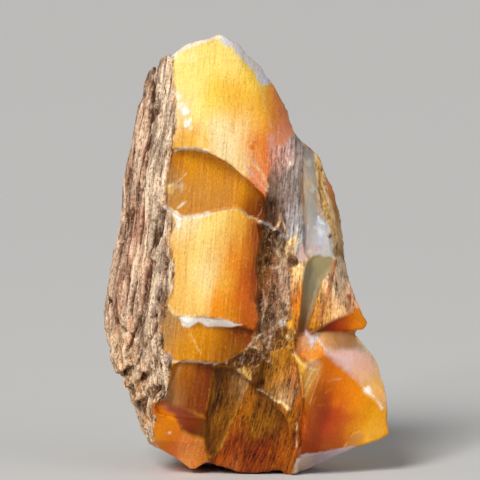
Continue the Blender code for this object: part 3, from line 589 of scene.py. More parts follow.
# Where the inner edge of the rind runs, from the top down
RIND_EDGE = [
    (-18.8, 113), (-18.8, 103.8), (-17.8, 93.8), (-17.8, 87.2), (-18.5, 80), (-19.8, 73.8), (-20.2, 66.2),
    (-17.8, 62), (-19, 58), (-18.1, 52.2), (-18.2, 46.5), (-19.8, 42.2), (-21, 35.5),
    (-20.9, 31.2), (-20, 30), (-18.5, 27), (-20, 18.5), (-23.5, 17.2), (-22.8, 13),
    (-23, 10), (-23.8, 6.8), (-25.5, -2),
]

# Pits of the rind: middle, half its width and half its height
RIND_PITS = [
    ((-24, 93.8), 0.9, 1.6), ((-22.2, 90), 0.8, 0.9), ((-24.2, 82.5), 0.9, 2),
    ((-25, 76.8), 0.5, 1.6), ((-24, 88.5), 0.4, 1.6), ((-25.5, 71.8), 0.4, 1.6),
    ((-22.8, 58.5), 1.4, 3.4), ((-21.5, 32.8), 0.7, 0.9), ((-23.5, 33.8), 0.5, 0.5),
    ((-34.2, 42.5), 0.7, 0.8), ((-30.2, 24.8), 0.8, 0.9), ((-25.8, 23.8), 0.7, 0.9),
    ((-27.8, 17.5), 0.9, 0.4), ((-23, 39.2), 0.5, 0.6), ((-24.2, 64.2), 0.6, 2),
]

# Grooves of the rind: a line, its width and its depth in millimetres
RIND_GROOVES = [
    ([(-23.2, 97), (-24, 90.5), (-24.5, 83), (-25.2, 75.5), (-25.8, 66.8), (-26.8, 56.8)], 0.5, 0.5),
    ([(-23.5, 52.5), (-24.8, 45.5), (-26.2, 39.2), (-27.8, 34.2)], 1.3, 0.6),
    ([(-27.5, 47.5), (-28.5, 43), (-29, 39.5)], 0.5, 0.6),
    ([(-34.5, 43.5), (-33.8, 41.5), (-32.8, 38)], 0.4, 0.4),
    ([(-32.2, 37.5), (-30.8, 36.2), (-29, 34.5)], 0.4, 0.4),
    ([(-30.2, 30), (-28.5, 34.2), (-26.2, 40)], 0.5, 0.5),
    ([(-28.2, 25), (-26.2, 29.5), (-24.2, 33.5)], 0.5, 0.5),
    ([(-22.2, 64.2), (-24.2, 54.2)], 0.5, 0.4),
    ([(-29.2, 75.5), (-30.8, 64.2), (-32.2, 52.5)], 0.4, 0.4),
    ([(-27.5, 70.5), (-29, 59.2), (-30.8, 48)], 0.4, 0.4),
    ([(-21, 31.8), (-18.8, 29.8), (-16.8, 28.5)], 0.5, 0.4),
]

# Where splinters of the rind broke off, from left to right
BROKEN_ENDS = [
    [(-32.5, 24), (-31.2, 25.2), (-29.8, 26.2), (-28, 26.8)],
    [(-30.5, 20.8), (-29.2, 21.8), (-27.5, 22.8), (-26.5, 23.5), (-25.2, 25.2), (-23.8, 25.8)],
    [(-28.5, 17.2), (-27, 18), (-25.2, 19), (-24.2, 21.2), (-22.5, 22), (-20.5, 21.8)],
]

# Patterns of the weathered wood: size across and along the grain in millimetres, seed and fine layers.
# They are INTO_STONE times as long into the stone as across the face that they are seen on.
INTO_STONE = 6
WOOD_PATTERNS = {
    "wide ribs": (2.1, 70, 11, 1), "ribs": (1, 50, 12, 1), "pit rows": (1.5, 12, 13, 1),
    "pits": (0.8, 1.6, 14, 1), "streaks": (1.2, 40, 41, 2), "grit": (0.7, 5, 43, 2),
}
WOOD_PLATES = {"plates": (2.4, 46, 15), "splinters": (1.7, 10, 17)}

# Heights of the weathered wood's relief in millimetres
WIDE_RIB_MM = 0.4
RIB_MM = 0.5
PLATE_MM = 0.45
SPLINTER_MM = 0.7
SPLIT_MM = 0.4
WOOD_PIT_MM = 0.5
RIND_PIT_MM = 0.6
BROKEN_STEP_MM = 0.7

# The ribs and the whole rind are lowered by this much, and low down by this much more
RIBS_DOWN_MM = 0.45
RIND_DOWN_MM = (0.2, 0.3)

# How far below a broken end its step fades out, and how softly the step and its two ends begin
BROKEN_FADE_MM = (5, 0.5)
BROKEN_EDGE_MM = 0.15
BROKEN_SIDE_MM = 0.3

# A thin mark or groove is full this far inside its edge, and gone this far outside it
LINE_FULL_MM = 0.15
LINE_GONE_MM = 0.25

# Splinters stick up below these two heights, the foot's golden colour starts below the other two, and
# the rind is greyer up to RIND_INNER_MM from its inner edge
SPLINTERS_LOW_MM = (48, 30)
GOLDEN_LOW_MM = (42, 24)
RIND_INNER_MM = 5.6

# Slow noise that pushes things aside, up to half its reach either way: size of its waves in millimetres
# across, back and up, seed and reach
WOBBLES = {
    "rind edge": ((1.6, 1.6, 4), 5, 1.2), "area edge": ((1.3, 1.3, 2.6), 7, 0.6),
    "line": ((0.8, 0.8, 1.8), 73, 0.5), "hollow": ((1.1, 1.1, 1.8), 75, 0.6),
    "dot": ((1.1, 1.1, 1.8), 73, 1.6), "inner rind": ((5, 5, 12), 45, 2),
    "web across": ((2.4, 4, 3.6), 71, 2.4), "web back": ((2.4, 4, 3.6), 72, 2.4),
    "web up": ((2.4, 4, 3.6), 73, 2.4),
}

# Heights of the relief of the web, in millimetres, and how far it is lowered
WEB_VEIN_MM = 0.45
WEB_GRIT_MM = 0.5
WEB_PATCH_MM = 0.5
WEB_FIBRE_MM = 0.4
WEB_DOWN_MM = 0.85

# Tints of the weathered wood and of the opal's back: colour, pattern, where it starts and is full, its
# strength, and how much stronger it is beside the opal
RIND_TINTS = [
    ("rind cream", "streaks", 0.52, 0.64, 0.45, 0), ("rind dark", "streaks", 0.46, 0.34, 0.5, 0),
    ("rind cream", "grit", 0.52, 0.64, 0.4, 0), ("rind dark", "grit", 0.44, 0.32, 0.5, 0),
    ("rind cream", "mottle", 0.5, 0.64, 0.2, 0.5), ("rind dark", "mottle", 0.44, 0.32, 0.2, 0.3),
    # Painted light by the relief's height: a painted highlight on the high ridges and painted shade in the
    # low grooves
    ("rind cream", "height", 0.15, 0.6, 0.55, 0), ("rind dark", "height", -0.15, -0.6, 0.9, 0),
]
BACK_TINTS = [
    ("amber", "tone", 0.45, 0.58, 1, 0), ("gold", "tone", 0.56, 0.68, 0.7, 0),
    ("orange", "tone", 0.46, 0.36, 0.8, 0), ("red brown", "tone", 0.38, 0.28, 0.7, 0),
    ("red brown", "fibres", 0.46, 0.34, 0.2, 0), ("pale gold", "fibres", 0.56, 0.7, 0.35, 0),
]


def linear(colour):
    """A screen colour as the light that it stands for."""
    share = np.array(COLOURS[colour]) / 255
    return np.where(share <= 0.04045, share / 12.92, ((share + 0.055) / 1.055) ** 2.4)


def ease(low, high, value):
    """Rises smoothly from 0 at low to 1 at high."""
    share = np.clip((value - low) / (high - low), 0, 1)
    return share * share * (3 - 2 * share)


def mixed(under, over, share):
    """Lays one value or row of colours over another."""
    if np.ndim(under) == 2:
        share = share[:, None]
    return under * (1 - share) + over * share


def laid_over(colour, layers):
    """Lays named colours over a colour, one after another, each by its own share."""
    for name, share in layers:
        colour = mixed(colour, linear(name), share)
    return colour


def tinted(colour, tints, patterns, inner=0):
    """Lays tints over a colour, each where its pattern has the values that the tint asks for."""
    layers = []
    for name, pattern, start, full, strength, more in tints:
        layers.append((name, ease(start, full, patterns[pattern]) * (strength + more * inner)))
    return laid_over(colour, layers)


# Noise


def hashed(cell, seed):
    """A repeatable number from 0 to 1 for each cell of a grid."""
    x, y, z = cell.T
    code = x * 73856093 ^ y * 19349663 ^ z * 83492791 ^ seed * 26544357
    code = (code ^ (code >> 13)) * 1274126177 & 0xFFFFFFFF
    code = (code ^ (code >> 16)) * 668265263 & 0xFFFFFFFF
    return ((code >> 8) & 0xFFFF) / 65535


def noise(places, size, seed):
    """Smooth noise from 0 to 1. Size is the grid's step along each of the three directions."""
    scaled = places / np.array(size)
    cell = np.floor(scaled).astype(np.int64)
    part = ease(0, 1, scaled - cell)
    total = np.zeros(len(places))
    for corner in np.ndindex(2, 2, 2):
        weight = np.prod(np.where(corner, part, 1 - part), axis=1)
        total += weight * hashed(cell + corner, seed)
    return total


def rough_noise(places, size, layers, seed):
    """Noise with finer and weaker layers on it, from 0 to 1."""
    total, weights = 0, 0
    for layer in range(layers):
        weight = 0.5 ** layer
        total = total + weight * noise(places, np.array(size) * weight, seed + layer)
        weights += weight
    return total / weights


def crests(pattern):
    """Makes sharp crests of smooth noise, from 0 between them to 1 on them."""
    return 1 - np.abs(2 * pattern - 1)


def chunks(places, size, seed):
    """How far each place is inside its own cell of a broken-up pattern, and the cell's own number."""
    scaled = places / np.array(size)
    cell = np.floor(scaled).astype(np.int64)
    nearest = np.full(len(places), 9.0)
    second = nearest
    name = np.zeros(len(places))
    for step in np.ndindex(3, 3, 3):
        at = cell + step - 1
        middle = at + np.stack([hashed(at, seed + k) for k in range(3)], axis=1)
        away = np.linalg.norm(scaled - middle, axis=1)
        closer = away < nearest
        second = np.where(closer, nearest, np.minimum(second, away))
        name = np.where(closer, hashed(at, seed + 3), name)
        nearest = np.where(closer, away, nearest)
    return second - nearest, name


def wobble(surface, name):
    """How far slow noise pushes something aside at each point."""
    size, seed, reach = WOBBLES[name]
    return reach * (noise(surface.grain, size, seed) - 0.5)


def two_ways(across, high):
    """Sizes of a pattern drawn out along the grain, for the front and for the sides."""
    return (across, INTO_STONE * across, high), (INTO_STONE * across, across, high)


def wood_noise(surface, name):
    """Noise of the weathered wood, drawn out along the grain, from 0 to 1."""
    across, high, seed, layers = WOOD_PATTERNS[name]
    both = [rough_noise(surface.grain, size, layers, seed) for size in two_ways(across, high)]
    return mixed(*both, surface.side)


def wood_plates(surface, name):
    """A broken-up pattern of the weathered wood: how far inside a plate, and the plate's own number."""
    across, high, seed = WOOD_PLATES[name]
    both = [chunks(surface.grain, size, seed) for size in two_ways(across, high)]
    return [mixed(seen, beside, surface.side) for seen, beside in zip(*both)]


# Shapes of the drawing


def distance_to_line(u, v, line):
    """Distance to a line of straight pieces."""
    nearest = np.full(len(u), 1e9)
    for (u0, v0), (u1, v1) in zip(line, line[1:]):
        along = ((u - u0) * (u1 - u0) + (v - v0) * (v1 - v0)) / ((u1 - u0) ** 2 + (v1 - v0) ** 2)
        along = np.clip(along, 0, 1)
        nearest = np.minimum(nearest, np.hypot(u - u0 - along * (u1 - u0), v - v0 - along * (v1 - v0)))
    return nearest


def distance_inside(u, v, outline):
    """Distance to an outline, above zero inside it."""
    closed = outline + outline[:1]
    inside = np.zeros(len(u), dtype=bool)
    for (u0, v0), (u1, v1) in zip(closed, closed[1:]):
        if v0 != v1:
            passes = (v0 > v) != (v1 > v)
            inside ^= passes & (u < (u1 - u0) * (v - v0) / (v1 - v0) + u0)
    return distance_to_line(u, v, closed) * np.where(inside, 1, -1)


def square_to(lean, u, v):
    """Place square to the grain or the fibres."""
    slant, bend, below = lean
    return u - slant * v + bend * np.maximum(0, below - v) ** 2


def left_of_edge(surface):
    """Distance to the left of the rind's inner edge."""
    places, heights = np.array(RIND_EDGE)[::-1].T
    return np.interp(surface.v, heights, places) - surface.u


def oval(surface, middle, wide, high):
    """Distance from a middle, which is 1 on the oval of that half width and half height round it."""
    return np.hypot((surface.u - middle[0]) / wide, (surface.v - middle[1]) / high)


def spot_colours(across, v, spots):
    """Each place takes the colours of the spots around it, the near ones most. Spots are long
    along the grain, and across is measured square to it."""
    total = np.zeros((len(v), 3))
    weights = np.zeros(len(v))
    for colour, places in spots.items():
        for spot_u, spot_v in places:
            aside = (across - square_to(FIBRE_LEAN, spot_u, spot_v)) / SPOT_WIDTH_MM
            along = (v - spot_v) / SPOT_LENGTH_MM
            weight = np.exp(-0.5 * (aside ** 2 + along ** 2)) + 1e-9
            total += weight[:, None] * linear(colour)
            weights += weight
    return total / weights[:, None]


# The surface


def add_object(name, data):
    """Puts a new object in the scene."""
    body = bpy.data.objects.new(name, data)
    bpy.context.scene.collection.objects.link(body)
    return body


def read(items, name, width, kind=float):
    """The numbers that a mesh's points or edges keep, as rows."""
    values = np.empty(len(items) * width, dtype=kind)
    items.foreach_get(name, values)
    return values.reshape(-1, width)


class Surface:
    """The stone's fine mesh, with what the colours and the relief need to know at each point."""

    def __init__(self, node):
        self.body = fine_copy(node)
        mesh = self.body.data
        self.move(eased(read(mesh.vertices, "co", 3), read(mesh.edges, "vertices", 2, np.int64)))
        self.normals = read(mesh.vertex_normals, "vector", 3)
        self.u, back, up = self.points.T / MM
        back = back + SET_BACK_MM
        self.v = up * math.cos(LEAN) + back * math.sin(LEAN)
        self.y = back * math.cos(LEAN) - up * math.sin(LEAN)
        self.grain = np.stack([square_to(GRAIN_LEAN, self.u, self.v), self.y, self.v], axis=1)
        self.fibre = np.stack([square_to(FIBRE_LEAN, self.u, self.v), self.y, self.v], axis=1)
        faces_away = self.normals[:, 1] * math.cos(LEAN) - self.normals[:, 2] * math.sin(LEAN)
        self.front = 1 - ease(*BACK_TURN, faces_away)
        self.side = ease(*SIDE_TURN, np.abs(self.normals[:, 0]))
        self.frayed = wobble(self, "line")

    def move(self, points):
        """Puts the mesh's points in new places."""
        self.points = points
        self.body.data.vertices.foreach_set("co", points.ravel())
        self.body.data.update()

    def raise_by(self, height_mm):
        """Moves each point along its normal, but none below the ground."""
        points = self.points + self.normals * (height_mm * MM)[:, None]
        points[:, 2] = np.maximum(points[:, 2], 0)
        self.move(points)

    def store(self, name, values):
        """Keeps a number or a row of three for each point, for the materials."""
        kind, field = ("FLOAT", "value") if values.ndim == 1 else ("FLOAT_VECTOR", "vector")
        layer = self.body.data.attributes.new(name, kind, "POINT")
        layer.data.foreach_set(field, values.ravel())


def eased(points, edges):
    """Eases sharp corners: each point moves part of the way to the mean of its neighbours."""
    here, there = np.concatenate([edges, edges[:, ::-1]]).T
    sums = [np.bincount(here, points[there, k], len(points)) for k in range(3)]
    mean = np.stack(sums, axis=1) / np.bincount(here)[:, None]
    return points + EASE_WEIGHT * (mean - points)


def take_modifiers(body):
    """Makes an object's mesh what its modifiers make of it."""
    graph = bpy.context.evaluated_depsgraph_get()
    mesh = bpy.data.meshes.new_from_object(body.evaluated_get(graph))
    body.modifiers.clear()
    body.data = mesh


def split_front(mesh):
    """Splits the quads that face the eye in four."""
    shape = bmesh.new()
    shape.from_mesh(mesh)
    shape.normal_update()
    edges = [edge for edge in shape.edges if any(face.normal.y < FRONT_TURN for face in edge.link_faces)]
    bmesh.ops.subdivide_edges(shape, edges=edges, cuts=1, use_grid_fill=True)
    shape.to_mesh(mesh)
    shape.free()


def fine_copy(node):
    """A copy of the CAD node as an even mesh of small quads that lies on the CAD node's own faces."""
    body = add_object("wood_opal_surface", node.data.copy())
    weld = body.modifiers.new("weld", "WELD")
    weld.merge_threshold = WELD_MM * MM
    remesh = body.modifiers.new("remesh", "REMESH")
    remesh.mode = "VOXEL"
    remesh.voxel_size = QUAD_MM * MM
    remesh.use_smooth_shade = True
    take_modifiers(body)
    split_front(body.data)
    hug = body.modifiers.new("hug", "SHRINKWRAP")
    hug.wrap_method = "NEAREST_SURFACEPOINT"
    hug.target = node
    take_modifiers(body)
    return body


def rind_share(surface):
    """1 on the weathered wood, 0 on the opal."""
    left_band = ease(-0.4, 0.4, left_of_edge(surface) - wobble(surface, "rind edge"))
    share = mixed(1, left_band, surface.front)
    places = np.stack([surface.u, surface.v, surface.y], axis=1)
    for middle in BACK_BALLS:
        away = np.linalg.norm(places - middle, axis=1)
        on_ball = 1 - ease(0.25, 0.6, np.abs(away - BACK_BALL_MM))
        share = share * (1 - on_ball * (1 - surface.front))
    lobe_end = ease(0.3, 0.6, surface.normals[:, 0]) * ease(LOBE_TOP_MM, LOBE_TOP_MM - 3, surface.v)
    return share * (1 - lobe_end)


def share_out_kinds(surface):
    """How much of each kind of stone each point is. An area laid down later covers the ones before."""
    rind = rind_share(surface)
    sway = wobble(surface, "area edge")
    kinds = {kind: np.zeros(len(rind)) for kind in ("web", *PLAIN_RELIEF)}
    kinds["opal"] = 1 - rind
    surface.areas = {}
    for name, (own_kind, outline, spots) in AREAS.items():
        soft = SOFT_EDGES_MM.get(name, EDGE_MM)
        inside = distance_inside(surface.u + sway, surface.v + sway, outline)
        share = ease(-soft, soft, inside) * surface.front
        surface.areas[name] = share * (1 - rind)
        for kind in kinds:
            kinds[kind] = kinds[kind] * (1 - share)
        kinds[own_kind] = kinds[own_kind] + surface.areas[name]
    surface.kinds = {"rind": rind, **kinds}


def counted(kinds, shares):
    """How much of some kinds of stone each point is, each kind counted by its own share."""
    return sum(share * kinds[kind] for kind, share in shares.items())


def line_share(surface, line, width):
    """1 on a thin mark with frayed sides, 0 beside it."""
    away = distance_to_line(surface.u, surface.v, line) + surface.frayed
    return ease(width / 2 + LINE_GONE_MM, width / 2 - LINE_FULL_MM, away) * surface.front


def hollow_share(surface, middle, wide, high):
    """1 in the middle of a hollow of the web, 0 outside it."""
    away = oval(surface, middle, wide, high) + wobble(surface, "hollow")
    return ease(1.2, 0.5, away) * surface.front


def past_end(surface, end):
    """1 just below a line where splinters broke off, fading to 0 further down."""
    places, heights = zip(*end)
    down = np.interp(surface.u, places, heights) - surface.v
    step = ease(-BROKEN_EDGE_MM, BROKEN_EDGE_MM, down) * ease(*BROKEN_FADE_MM, down)
    for beside in (surface.u - places[0], places[-1] - surface.u):
        step = step * ease(-BROKEN_SIDE_MM, BROKEN_SIDE_MM, beside)
    return step * surface.front


def inner_rind(surface, sway=0):
    """1 in the greyer band of the rind beside the opal, 0 outside it."""
    return ease(RIND_INNER_MM + 1, RIND_INNER_MM - 0.6, left_of_edge(surface) + sway) * surface.front


def rind_relief(surface):
    """Heights of the weathered wood, in mm: straight ribs, plates split along the grain, rows of pits,
    splinters low down, crumbs, and the grooves and broken ends that are drawn."""
    low = ease(*SPLINTERS_LOW_MM, surface.v)
    wide_ribs, ribs = (crests(wood_noise(surface, name)) for name in ("wide ribs", "ribs"))
    gap, plate = wood_plates(surface, "plates")
    split, splinter = wood_plates(surface, "splinters")
    rows = ease(0.5, 0.65, wood_noise(surface, "pit rows"))
    pits = ease(0.56, 0.72, wood_noise(surface, "pits")) * rows
    crumbs = rough_noise(surface.grain, (1.2, 1.2, 2.6), 2, 16) - 0.5
    height = (1 + 0.4 * low) * (WIDE_RIB_MM * wide_ribs + RIB_MM * ribs - RIBS_DOWN_MM)
    height = height + PLATE_MM * plate - SPLIT_MM * (1 - ease(0.03, 0.16, gap))
    height = height + (SPLINTER_MM * splinter - SPLIT_MM * (1 - ease(0.03, 0.2, split))) * low
    height = height - WOOD_PIT_MM * pits * (1 - low)
    height = height + crumbs * (0.25 + 0.3 * inner_rind(surface))
    height = height - RIND_DOWN_MM[0] - RIND_DOWN_MM[1] * low
    for line, width, depth in RIND_GROOVES:
        height = height - depth * line_share(surface, line, width)
    for end in BROKEN_ENDS:
        height = height - BROKEN_STEP_MM * past_end(surface, end)
    for (u, v), wide, high in RIND_PITS:
        away = oval(surface, (u + GRAIN_LEAN[0] * (surface.v - v), v), wide, high)
        height = height - RIND_PIT_MM * (1 - ease(0.4, 1.3, away)) * surface.front
    return height


def web_relief(surface):
    """Heights of the web of veins between the opal areas, in mm."""
    push = [wobble(surface, name) for name in ("web across", "web back", "web up")]
    places = surface.grain + np.stack(push, axis=1)
    gap, patch = chunks(places, (2, 2, 6), 21)
    veins = (1 - ease(0.02, 0.2, gap)) * ease(0.4, 0.6, noise(places, (3, 3, 5), 24))
    fibres = crests(noise(surface.grain, (1.1, 2, 14), 23))
    grit = rough_noise(surface.grain, (0.9, 0.9, 1.8), 2, 22)
    height = WEB_VEIN_MM * veins + WEB_GRIT_MM * grit + WEB_PATCH_MM * patch + WEB_FIBRE_MM * fibres
    return height - WEB_DOWN_MM


def plain_relief(surface, kind):
    """Heights of one of the plainer kinds of stone, in mm."""
    height = 0
    for along, size, layers, seed, sharp, rise in PLAIN_RELIEF[kind]:
        places = surface.fibre if along == "fibre" else surface.grain
        pattern = rough_noise(places, size, layers, seed)
        if sharp:
            pattern = crests(pattern)
        height = height + rise * (pattern - 0.5)
    return height


def plain_paint(surface, colour):
    """The same colour at each point."""
    return np.tile(linear(colour), (len(surface.u), 1))


def paint_rind(surface, height):
    """Colours of the weathered wood: streaks along the grain, greyer beside the opal, golden low down,
    with painted highlights on the ridges and painted shade in the grooves."""
    sway = wobble(surface, "inner rind")
    inner = inner_rind(surface, sway)
    stain = ease(2, 0.4, left_of_edge(surface) + sway) * surface.front
    low = ease(*GOLDEN_LOW_MM, surface.v) * surface.front
    colour = laid_over(plain_paint(surface, "rind red"), [
        ("rind grey", inner * 0.8), ("rind tan", low * 0.75),
        ("rind gold", low * ease(-0.1, 0.3, sway) * 0.7), ("rind gold", stain * 0.6),
    ])
    patterns = {name: wood_noise(surface, name) for name in ("streaks", "grit")}
    patterns["mottle"] = rough_noise(surface.grain, (1.8, 1.8, 4), 2, 46)
    patterns["height"] = height
    colour = tinted(colour, RIND_TINTS, patterns, inner)
    # Painted shade in the drawn grooves of the rind
    grooves = [line_share(surface, line, width) for line, width, depth in RIND_GROOVES]
    return laid_over(colour, [("rind dark", groove * 0.6) for groove in grooves])


def paint_back_opal(surface):
    """Colours of the opal's broken faces at the back: bands and fibres along the grain."""
    patterns = {
        "tone": rough_noise(surface.grain, (9, 9, 40), 2, 51),
        "fibres": rough_noise(surface.fibre, (1.2, 1.2, 30), 2, 52),
    }
    return tinted(plain_paint(surface, "deep amber"), BACK_TINTS, patterns)


def paint_front(surface, colour):
    """Lays the areas, lines, hollows and dots of the front over the colours."""
    glassy = surface.kinds["glassy"]
    streaks = 2 * (noise(surface.fibre, (1.1, 5, 14), 72) - 0.5) * (1 - glassy)
    clouds = 3 * (rough_noise(surface.grain, (3, 5, 3.5), 2, 74) - 0.5) * (glassy + surface.kinds["agate"])
    across = surface.fibre[:, 0] + streaks + clouds
    for name, (kind, outline, spots) in AREAS.items():
        colour = mixed(colour, spot_colours(across, surface.v + clouds, spots), surface.areas[name])
    layers = []
    for line, width, mark, strength, *rise in LINES + VEINS:
        layers.append((mark, line_share(surface, line, width) * strength))
    for middle, wide, high, depth in HOLLOWS:
        # The hollows are painted dark brown: partly the matrix's own colour, partly painted shade
        layers.append(("dark brown", hollow_share(surface, middle, wide, high) * 0.8))
    frayed = wobble(surface, "dot")
    for middle, radius, mark, strength in DOTS:
        away = oval(surface, middle, radius, radius) + frayed
        layers.append((mark, ease(1, 0.3, away) * strength * surface.front))
    return laid_over(colour, layers)


def make_surface():
    """Builds the stone's finished mesh and paints it."""
    surface = Surface(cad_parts[NODE])
    share_out_kinds(surface)
    kinds = surface.kinds
    relief = {kind: plain_relief(surface, kind) for kind in PLAIN_RELIEF}
    relief["rind"] = rind_relief(surface)
    relief["web"] = web_relief(surface)
    height = sum(kinds[kind] * relief[kind] for kind in kinds)
    for line, width, mark, strength, rise in VEINS:
        height = height + rise * line_share(surface, line, width)
    for middle, wide, high, depth in HOLLOWS:
        height = height - depth * hollow_share(surface, middle, wide, high)

    back = mixed(paint_rind(surface, relief["rind"]), paint_back_opal(surface), 1 - kinds["rind"])
    # The web is paler on its raised parts; its low parts, and the low parts of the sugary stone, are
    # darkened as painted shade
    pale = ease(0.15, 0.5, relief["web"]) * kinds["web"]
    hollow = ease(-0.1, -0.35, relief["web"]) * kinds["web"]
    hollow = hollow + ease(-0.14, -0.26, relief["sugar"]) * kinds["sugar"]
    colour = laid_over(paint_front(surface, back), [("rind pale", pale * 0.5), ("dark brown", hollow * 0.6)])

    veil = VEIL * counted(kinds, VEILED)
    surface.store("paint", np.maximum(colour - veil[:, None], DARKEST))
    surface.store("grain", surface.grain)
    surface.store("fibre", surface.fibre)
    surface.store("side", surface.side)
    for name, shares in STORED.items():
        surface.store(name, counted(kinds, shares))
    surface.raise_by(height)
    return surface.body


# Materials


def add_node(tree, kind, inputs, **settings):
    """Adds a node. An input's value is a number, a colour or another node's output."""
    node = tree.nodes.new(kind)
    for name, value in settings.items():
        setattr(node, name, value)
    for name, value in inputs.items():
        if isinstance(value, bpy.types.NodeSocket):
            tree.links.new(value, node.inputs[name])
        else:
            node.inputs[name].default_value = value
    return node


def number(tree, operation, first, second):
    """One step of arithmetic on two values."""
    return add_node(tree, "ShaderNodeMath", {0: first, 1: second}, operation=operation).outputs[0]


def vector(tree, operation, first, second):
    """One step of arithmetic on two rows of three."""
    return add_node(tree, "ShaderNodeVectorMath", {0: first, 1: second}, operation=operation).outputs[0]


def attribute(tree, name, output):
    """A value kept on the mesh's points."""
    return add_node(tree, "ShaderNodeAttribute", {}, attribute_name=name).outputs[output]


def stretched_noise(tree, along, per_mm, detail, roughness):
    """Noise stretched along the rind's grain or the opal's fibres. The three numbers are waves in a
    mm across, back and up."""
    place = vector(tree, "MULTIPLY", attribute(tree, along, "Vector"), per_mm)
    inputs = {"Vector": place, "Scale": 1.0, "Detail": detail, "Roughness": roughness}
    return add_node(tree, "ShaderNodeTexNoise", inputs, normalize=True).outputs["Fac"]


def vein_network(tree, bend):
    """How far each place of the web is from the thin veins that run all through it."""
    place = vector(tree, "MULTIPLY", attribute(tree, "grain", "Vector"), VEINS_PER_MM)
    inputs = {"Vector": vector(tree, "ADD", place, bend), "Scale": 1.0}
    return add_node(tree, "ShaderNodeTexVoronoi", inputs, feature="DISTANCE_TO_EDGE").outputs["Distance"]


def blend(tree, first, second, share):
    """Goes from the first value to the second as share goes from 0 to 1."""
    change = number(tree, "MULTIPLY", number(tree, "SUBTRACT", second, first), share)
    return number(tree, "ADD", first, change)


def swing(tree, value, share, reach):
    """How much noise brightens or darkens, where share is 1."""
    middle = number(tree, "SUBTRACT", value, 0.5)
    return number(tree, "MULTIPLY", middle, number(tree, "MULTIPLY", share, reach))


def between(tree, value, low, high, share, top):
    """Rises from 0 where a value is low to top where it is high, where share is 1."""
    inputs = {"Value": value, "From Min": low, "From Max": high, "To Min": 0.0, "To Max": top}
    node = add_node(tree, "ShaderNodeMapRange", inputs, interpolation_type="SMOOTHSTEP")
    return number(tree, "MULTIPLY", node.outputs["Result"], share)


def lay_over(tree, under, colour, share, how):
    """Lays a named colour over what is there, or multiplies by it."""
    inputs = {0: share, 6: under, 7: (*linear(colour), 1.0)}
    return add_node(tree, "ShaderNodeMix", inputs, data_type="RGBA", blend_type=how).outputs[2]


def stone_material():
    """Opal, weathered wood and the web between them, told apart by values kept on the mesh."""
    material = bpy.data.materials.new("wood_opal")
    material.use_nodes = True
    tree = material.node_tree
    tree.nodes.clear()
    values = {name: attribute(tree, name, "Fac") for name in ("side", *STORED)}
    for name, pattern in PATTERNS.items():
        values[name] = stretched_noise(tree, *pattern)
    rind, web, gloss, patches = (values[name] for name in ("rind", "web", "gloss", "patches"))
    values["threads"] = blend(tree, values["front threads"], values["side threads"], values["side"])
    values["coarse"] = number(tree, "MAXIMUM", rind, web)
    values["split"] = number(tree, "MAXIMUM", values["fibrous"], web)
    values["lined"] = between(tree, patches, *LINED_PATCHES, values["lined"], 1.0)
    values["veins"] = vein_network(tree, number(tree, "MULTIPLY", patches, VEIN_BEND))
    values["broken up"] = between(tree, values["flecks"], *VEIN_FLECKS, web, 1.0)

    # The paint, brighter and darker with the patterns, and tinted
    strength = 1.0
    for pattern, stone, reach in SWINGS:
        strength = number(tree, "ADD", strength, swing(tree, values[pattern], values[stone], reach))
    inputs = {0: attribute(tree, "paint", "Vector"), "Scale": strength}
    colour = add_node(tree, "ShaderNodeVectorMath", inputs, operation="SCALE").outputs[0]
    for tint, pattern, low, high, stone, top, how in TINTS:
        share = between(tree, values[pattern], low, high, values[stone], top)
        colour = lay_over(tree, colour, tint, share, how)

    # Roughness
    rough = number(tree, "SUBTRACT", ROUGHEST, number(tree, "MULTIPLY", gloss, GLOSS_SMOOTHS))
    rough = number(tree, "ADD", rough, swing(tree, patches, ROUGH_SWING, 1.0))

    # Fine relief
    wood = number(tree, "ADD", number(tree, "MULTIPLY", values["specks"], SPECK_BUMP), values["threads"])
    fine_wood = number(tree, "MULTIPLY", wood, values["coarse"])
    fine_opal = number(tree, "MULTIPLY", values["lines"], number(tree, "MULTIPLY", gloss, LINE_BUMP))
    relief = {"Strength": 1.0, "Distance": BUMP_MM * MM, "Height": number(tree, "ADD", fine_wood, fine_opal)}

    shader = add_node(tree, "ShaderNodeBsdfPrincipled", {
        "Base Color": colour,
        "Roughness": rough,
        "Normal": add_node(tree, "ShaderNodeBump", relief).outputs[0],
        "IOR": OPAL_IOR,
        "Specular IOR Level": SPECULAR,
        "Coat Weight": number(tree, "MULTIPLY", gloss, GLOSS_COAT),
        "Coat Roughness": COAT_ROUGHNESS,
    })
    tree.nodes.active = add_node(tree, "ShaderNodeOutputMaterial", {"Surface": shader.outputs[0]})
    return material


# The studio


def stand(u, v):
    """World place, in metres, of a point of the drawing's plane."""
    return Vector((u, v * math.sin(LEAN) - SET_BACK_MM, v * math.cos(LEAN))) * MM


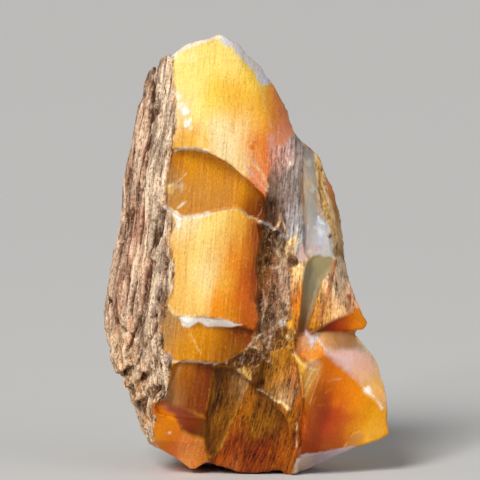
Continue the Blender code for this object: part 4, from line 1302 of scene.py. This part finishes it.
def make_floor():
    """A wide pale floor under the stone."""
    half = FLOOR_SIZE / 2
    corners = [(-half, -half, 0), (half, -half, 0), (half, half, 0), (-half, half, 0)]
    mesh = bpy.data.meshes.new("floor")
    mesh.from_pydata(corners, [], [(0, 1, 2, 3)])
    material = bpy.data.materials.new("floor")
    material.use_nodes = True
    shader = material.node_tree.nodes["Principled BSDF"]
    shader.inputs["Base Color"].default_value = (*FLOOR_COLOUR, 1)
    shader.inputs["Roughness"].default_value = FLOOR_ROUGHNESS
    mesh.materials.append(material)
    floor = add_object("floor", mesh)


def make_light():
    """Soft studio light, the strongest from the upper left."""
    world = bpy.data.worlds.new("studio")
    bpy.context.scene.world = world
    world.use_nodes = True
    background = world.node_tree.nodes["Background"]
    background.inputs["Color"].default_value = (1, 1, 1, 1)
    background.inputs["Strength"].default_value = WORLD_STRENGTH
    for name, height, aside, softness, strength in SUNS:
        light = bpy.data.lights.new(name, "SUN")
        light.energy = strength
        light.angle = math.radians(softness)
        sun = add_object(name, light)
        sun.rotation_euler = (math.radians(90 - height), 0, math.radians(aside))
    light = bpy.data.lights.new("glint", "AREA")
    light.shape = "DISK"
    light.size = LAMP_WIDTH
    light.energy = LAMP_POWER
    lamp = add_object("glint", light)
    lamp.location = LAMP_PLACE
    lamp.rotation_euler = (stand(*LAMP_AIM_MM) - lamp.location).to_track_quat("-Z", "Y").to_euler()


def make_camera():
    """A long lens that looks down on the stone by LEAN."""
    lens = bpy.data.cameras.new("camera")
    lens.lens = LENS_MM
    lens.sensor_width = SENSOR_MM
    camera = add_object("camera", lens)
    looks = Vector((0, math.cos(LEAN), -math.sin(LEAN)))
    camera.location = stand(*CAMERA_AIM_MM) - looks * CAMERA_DISTANCE
    camera.rotation_euler = looks.to_track_quat("-Z", "Y").to_euler()
    bpy.context.scene.camera = camera


def main():
    stone = make_surface()
    stone.data.materials.clear()
    stone.data.materials.append(stone_material())
    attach(stone, "root")
    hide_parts(NODE)
    make_floor()
    make_light()
    make_camera()
    bpy.context.scene.view_settings.view_transform = "Standard"


main()
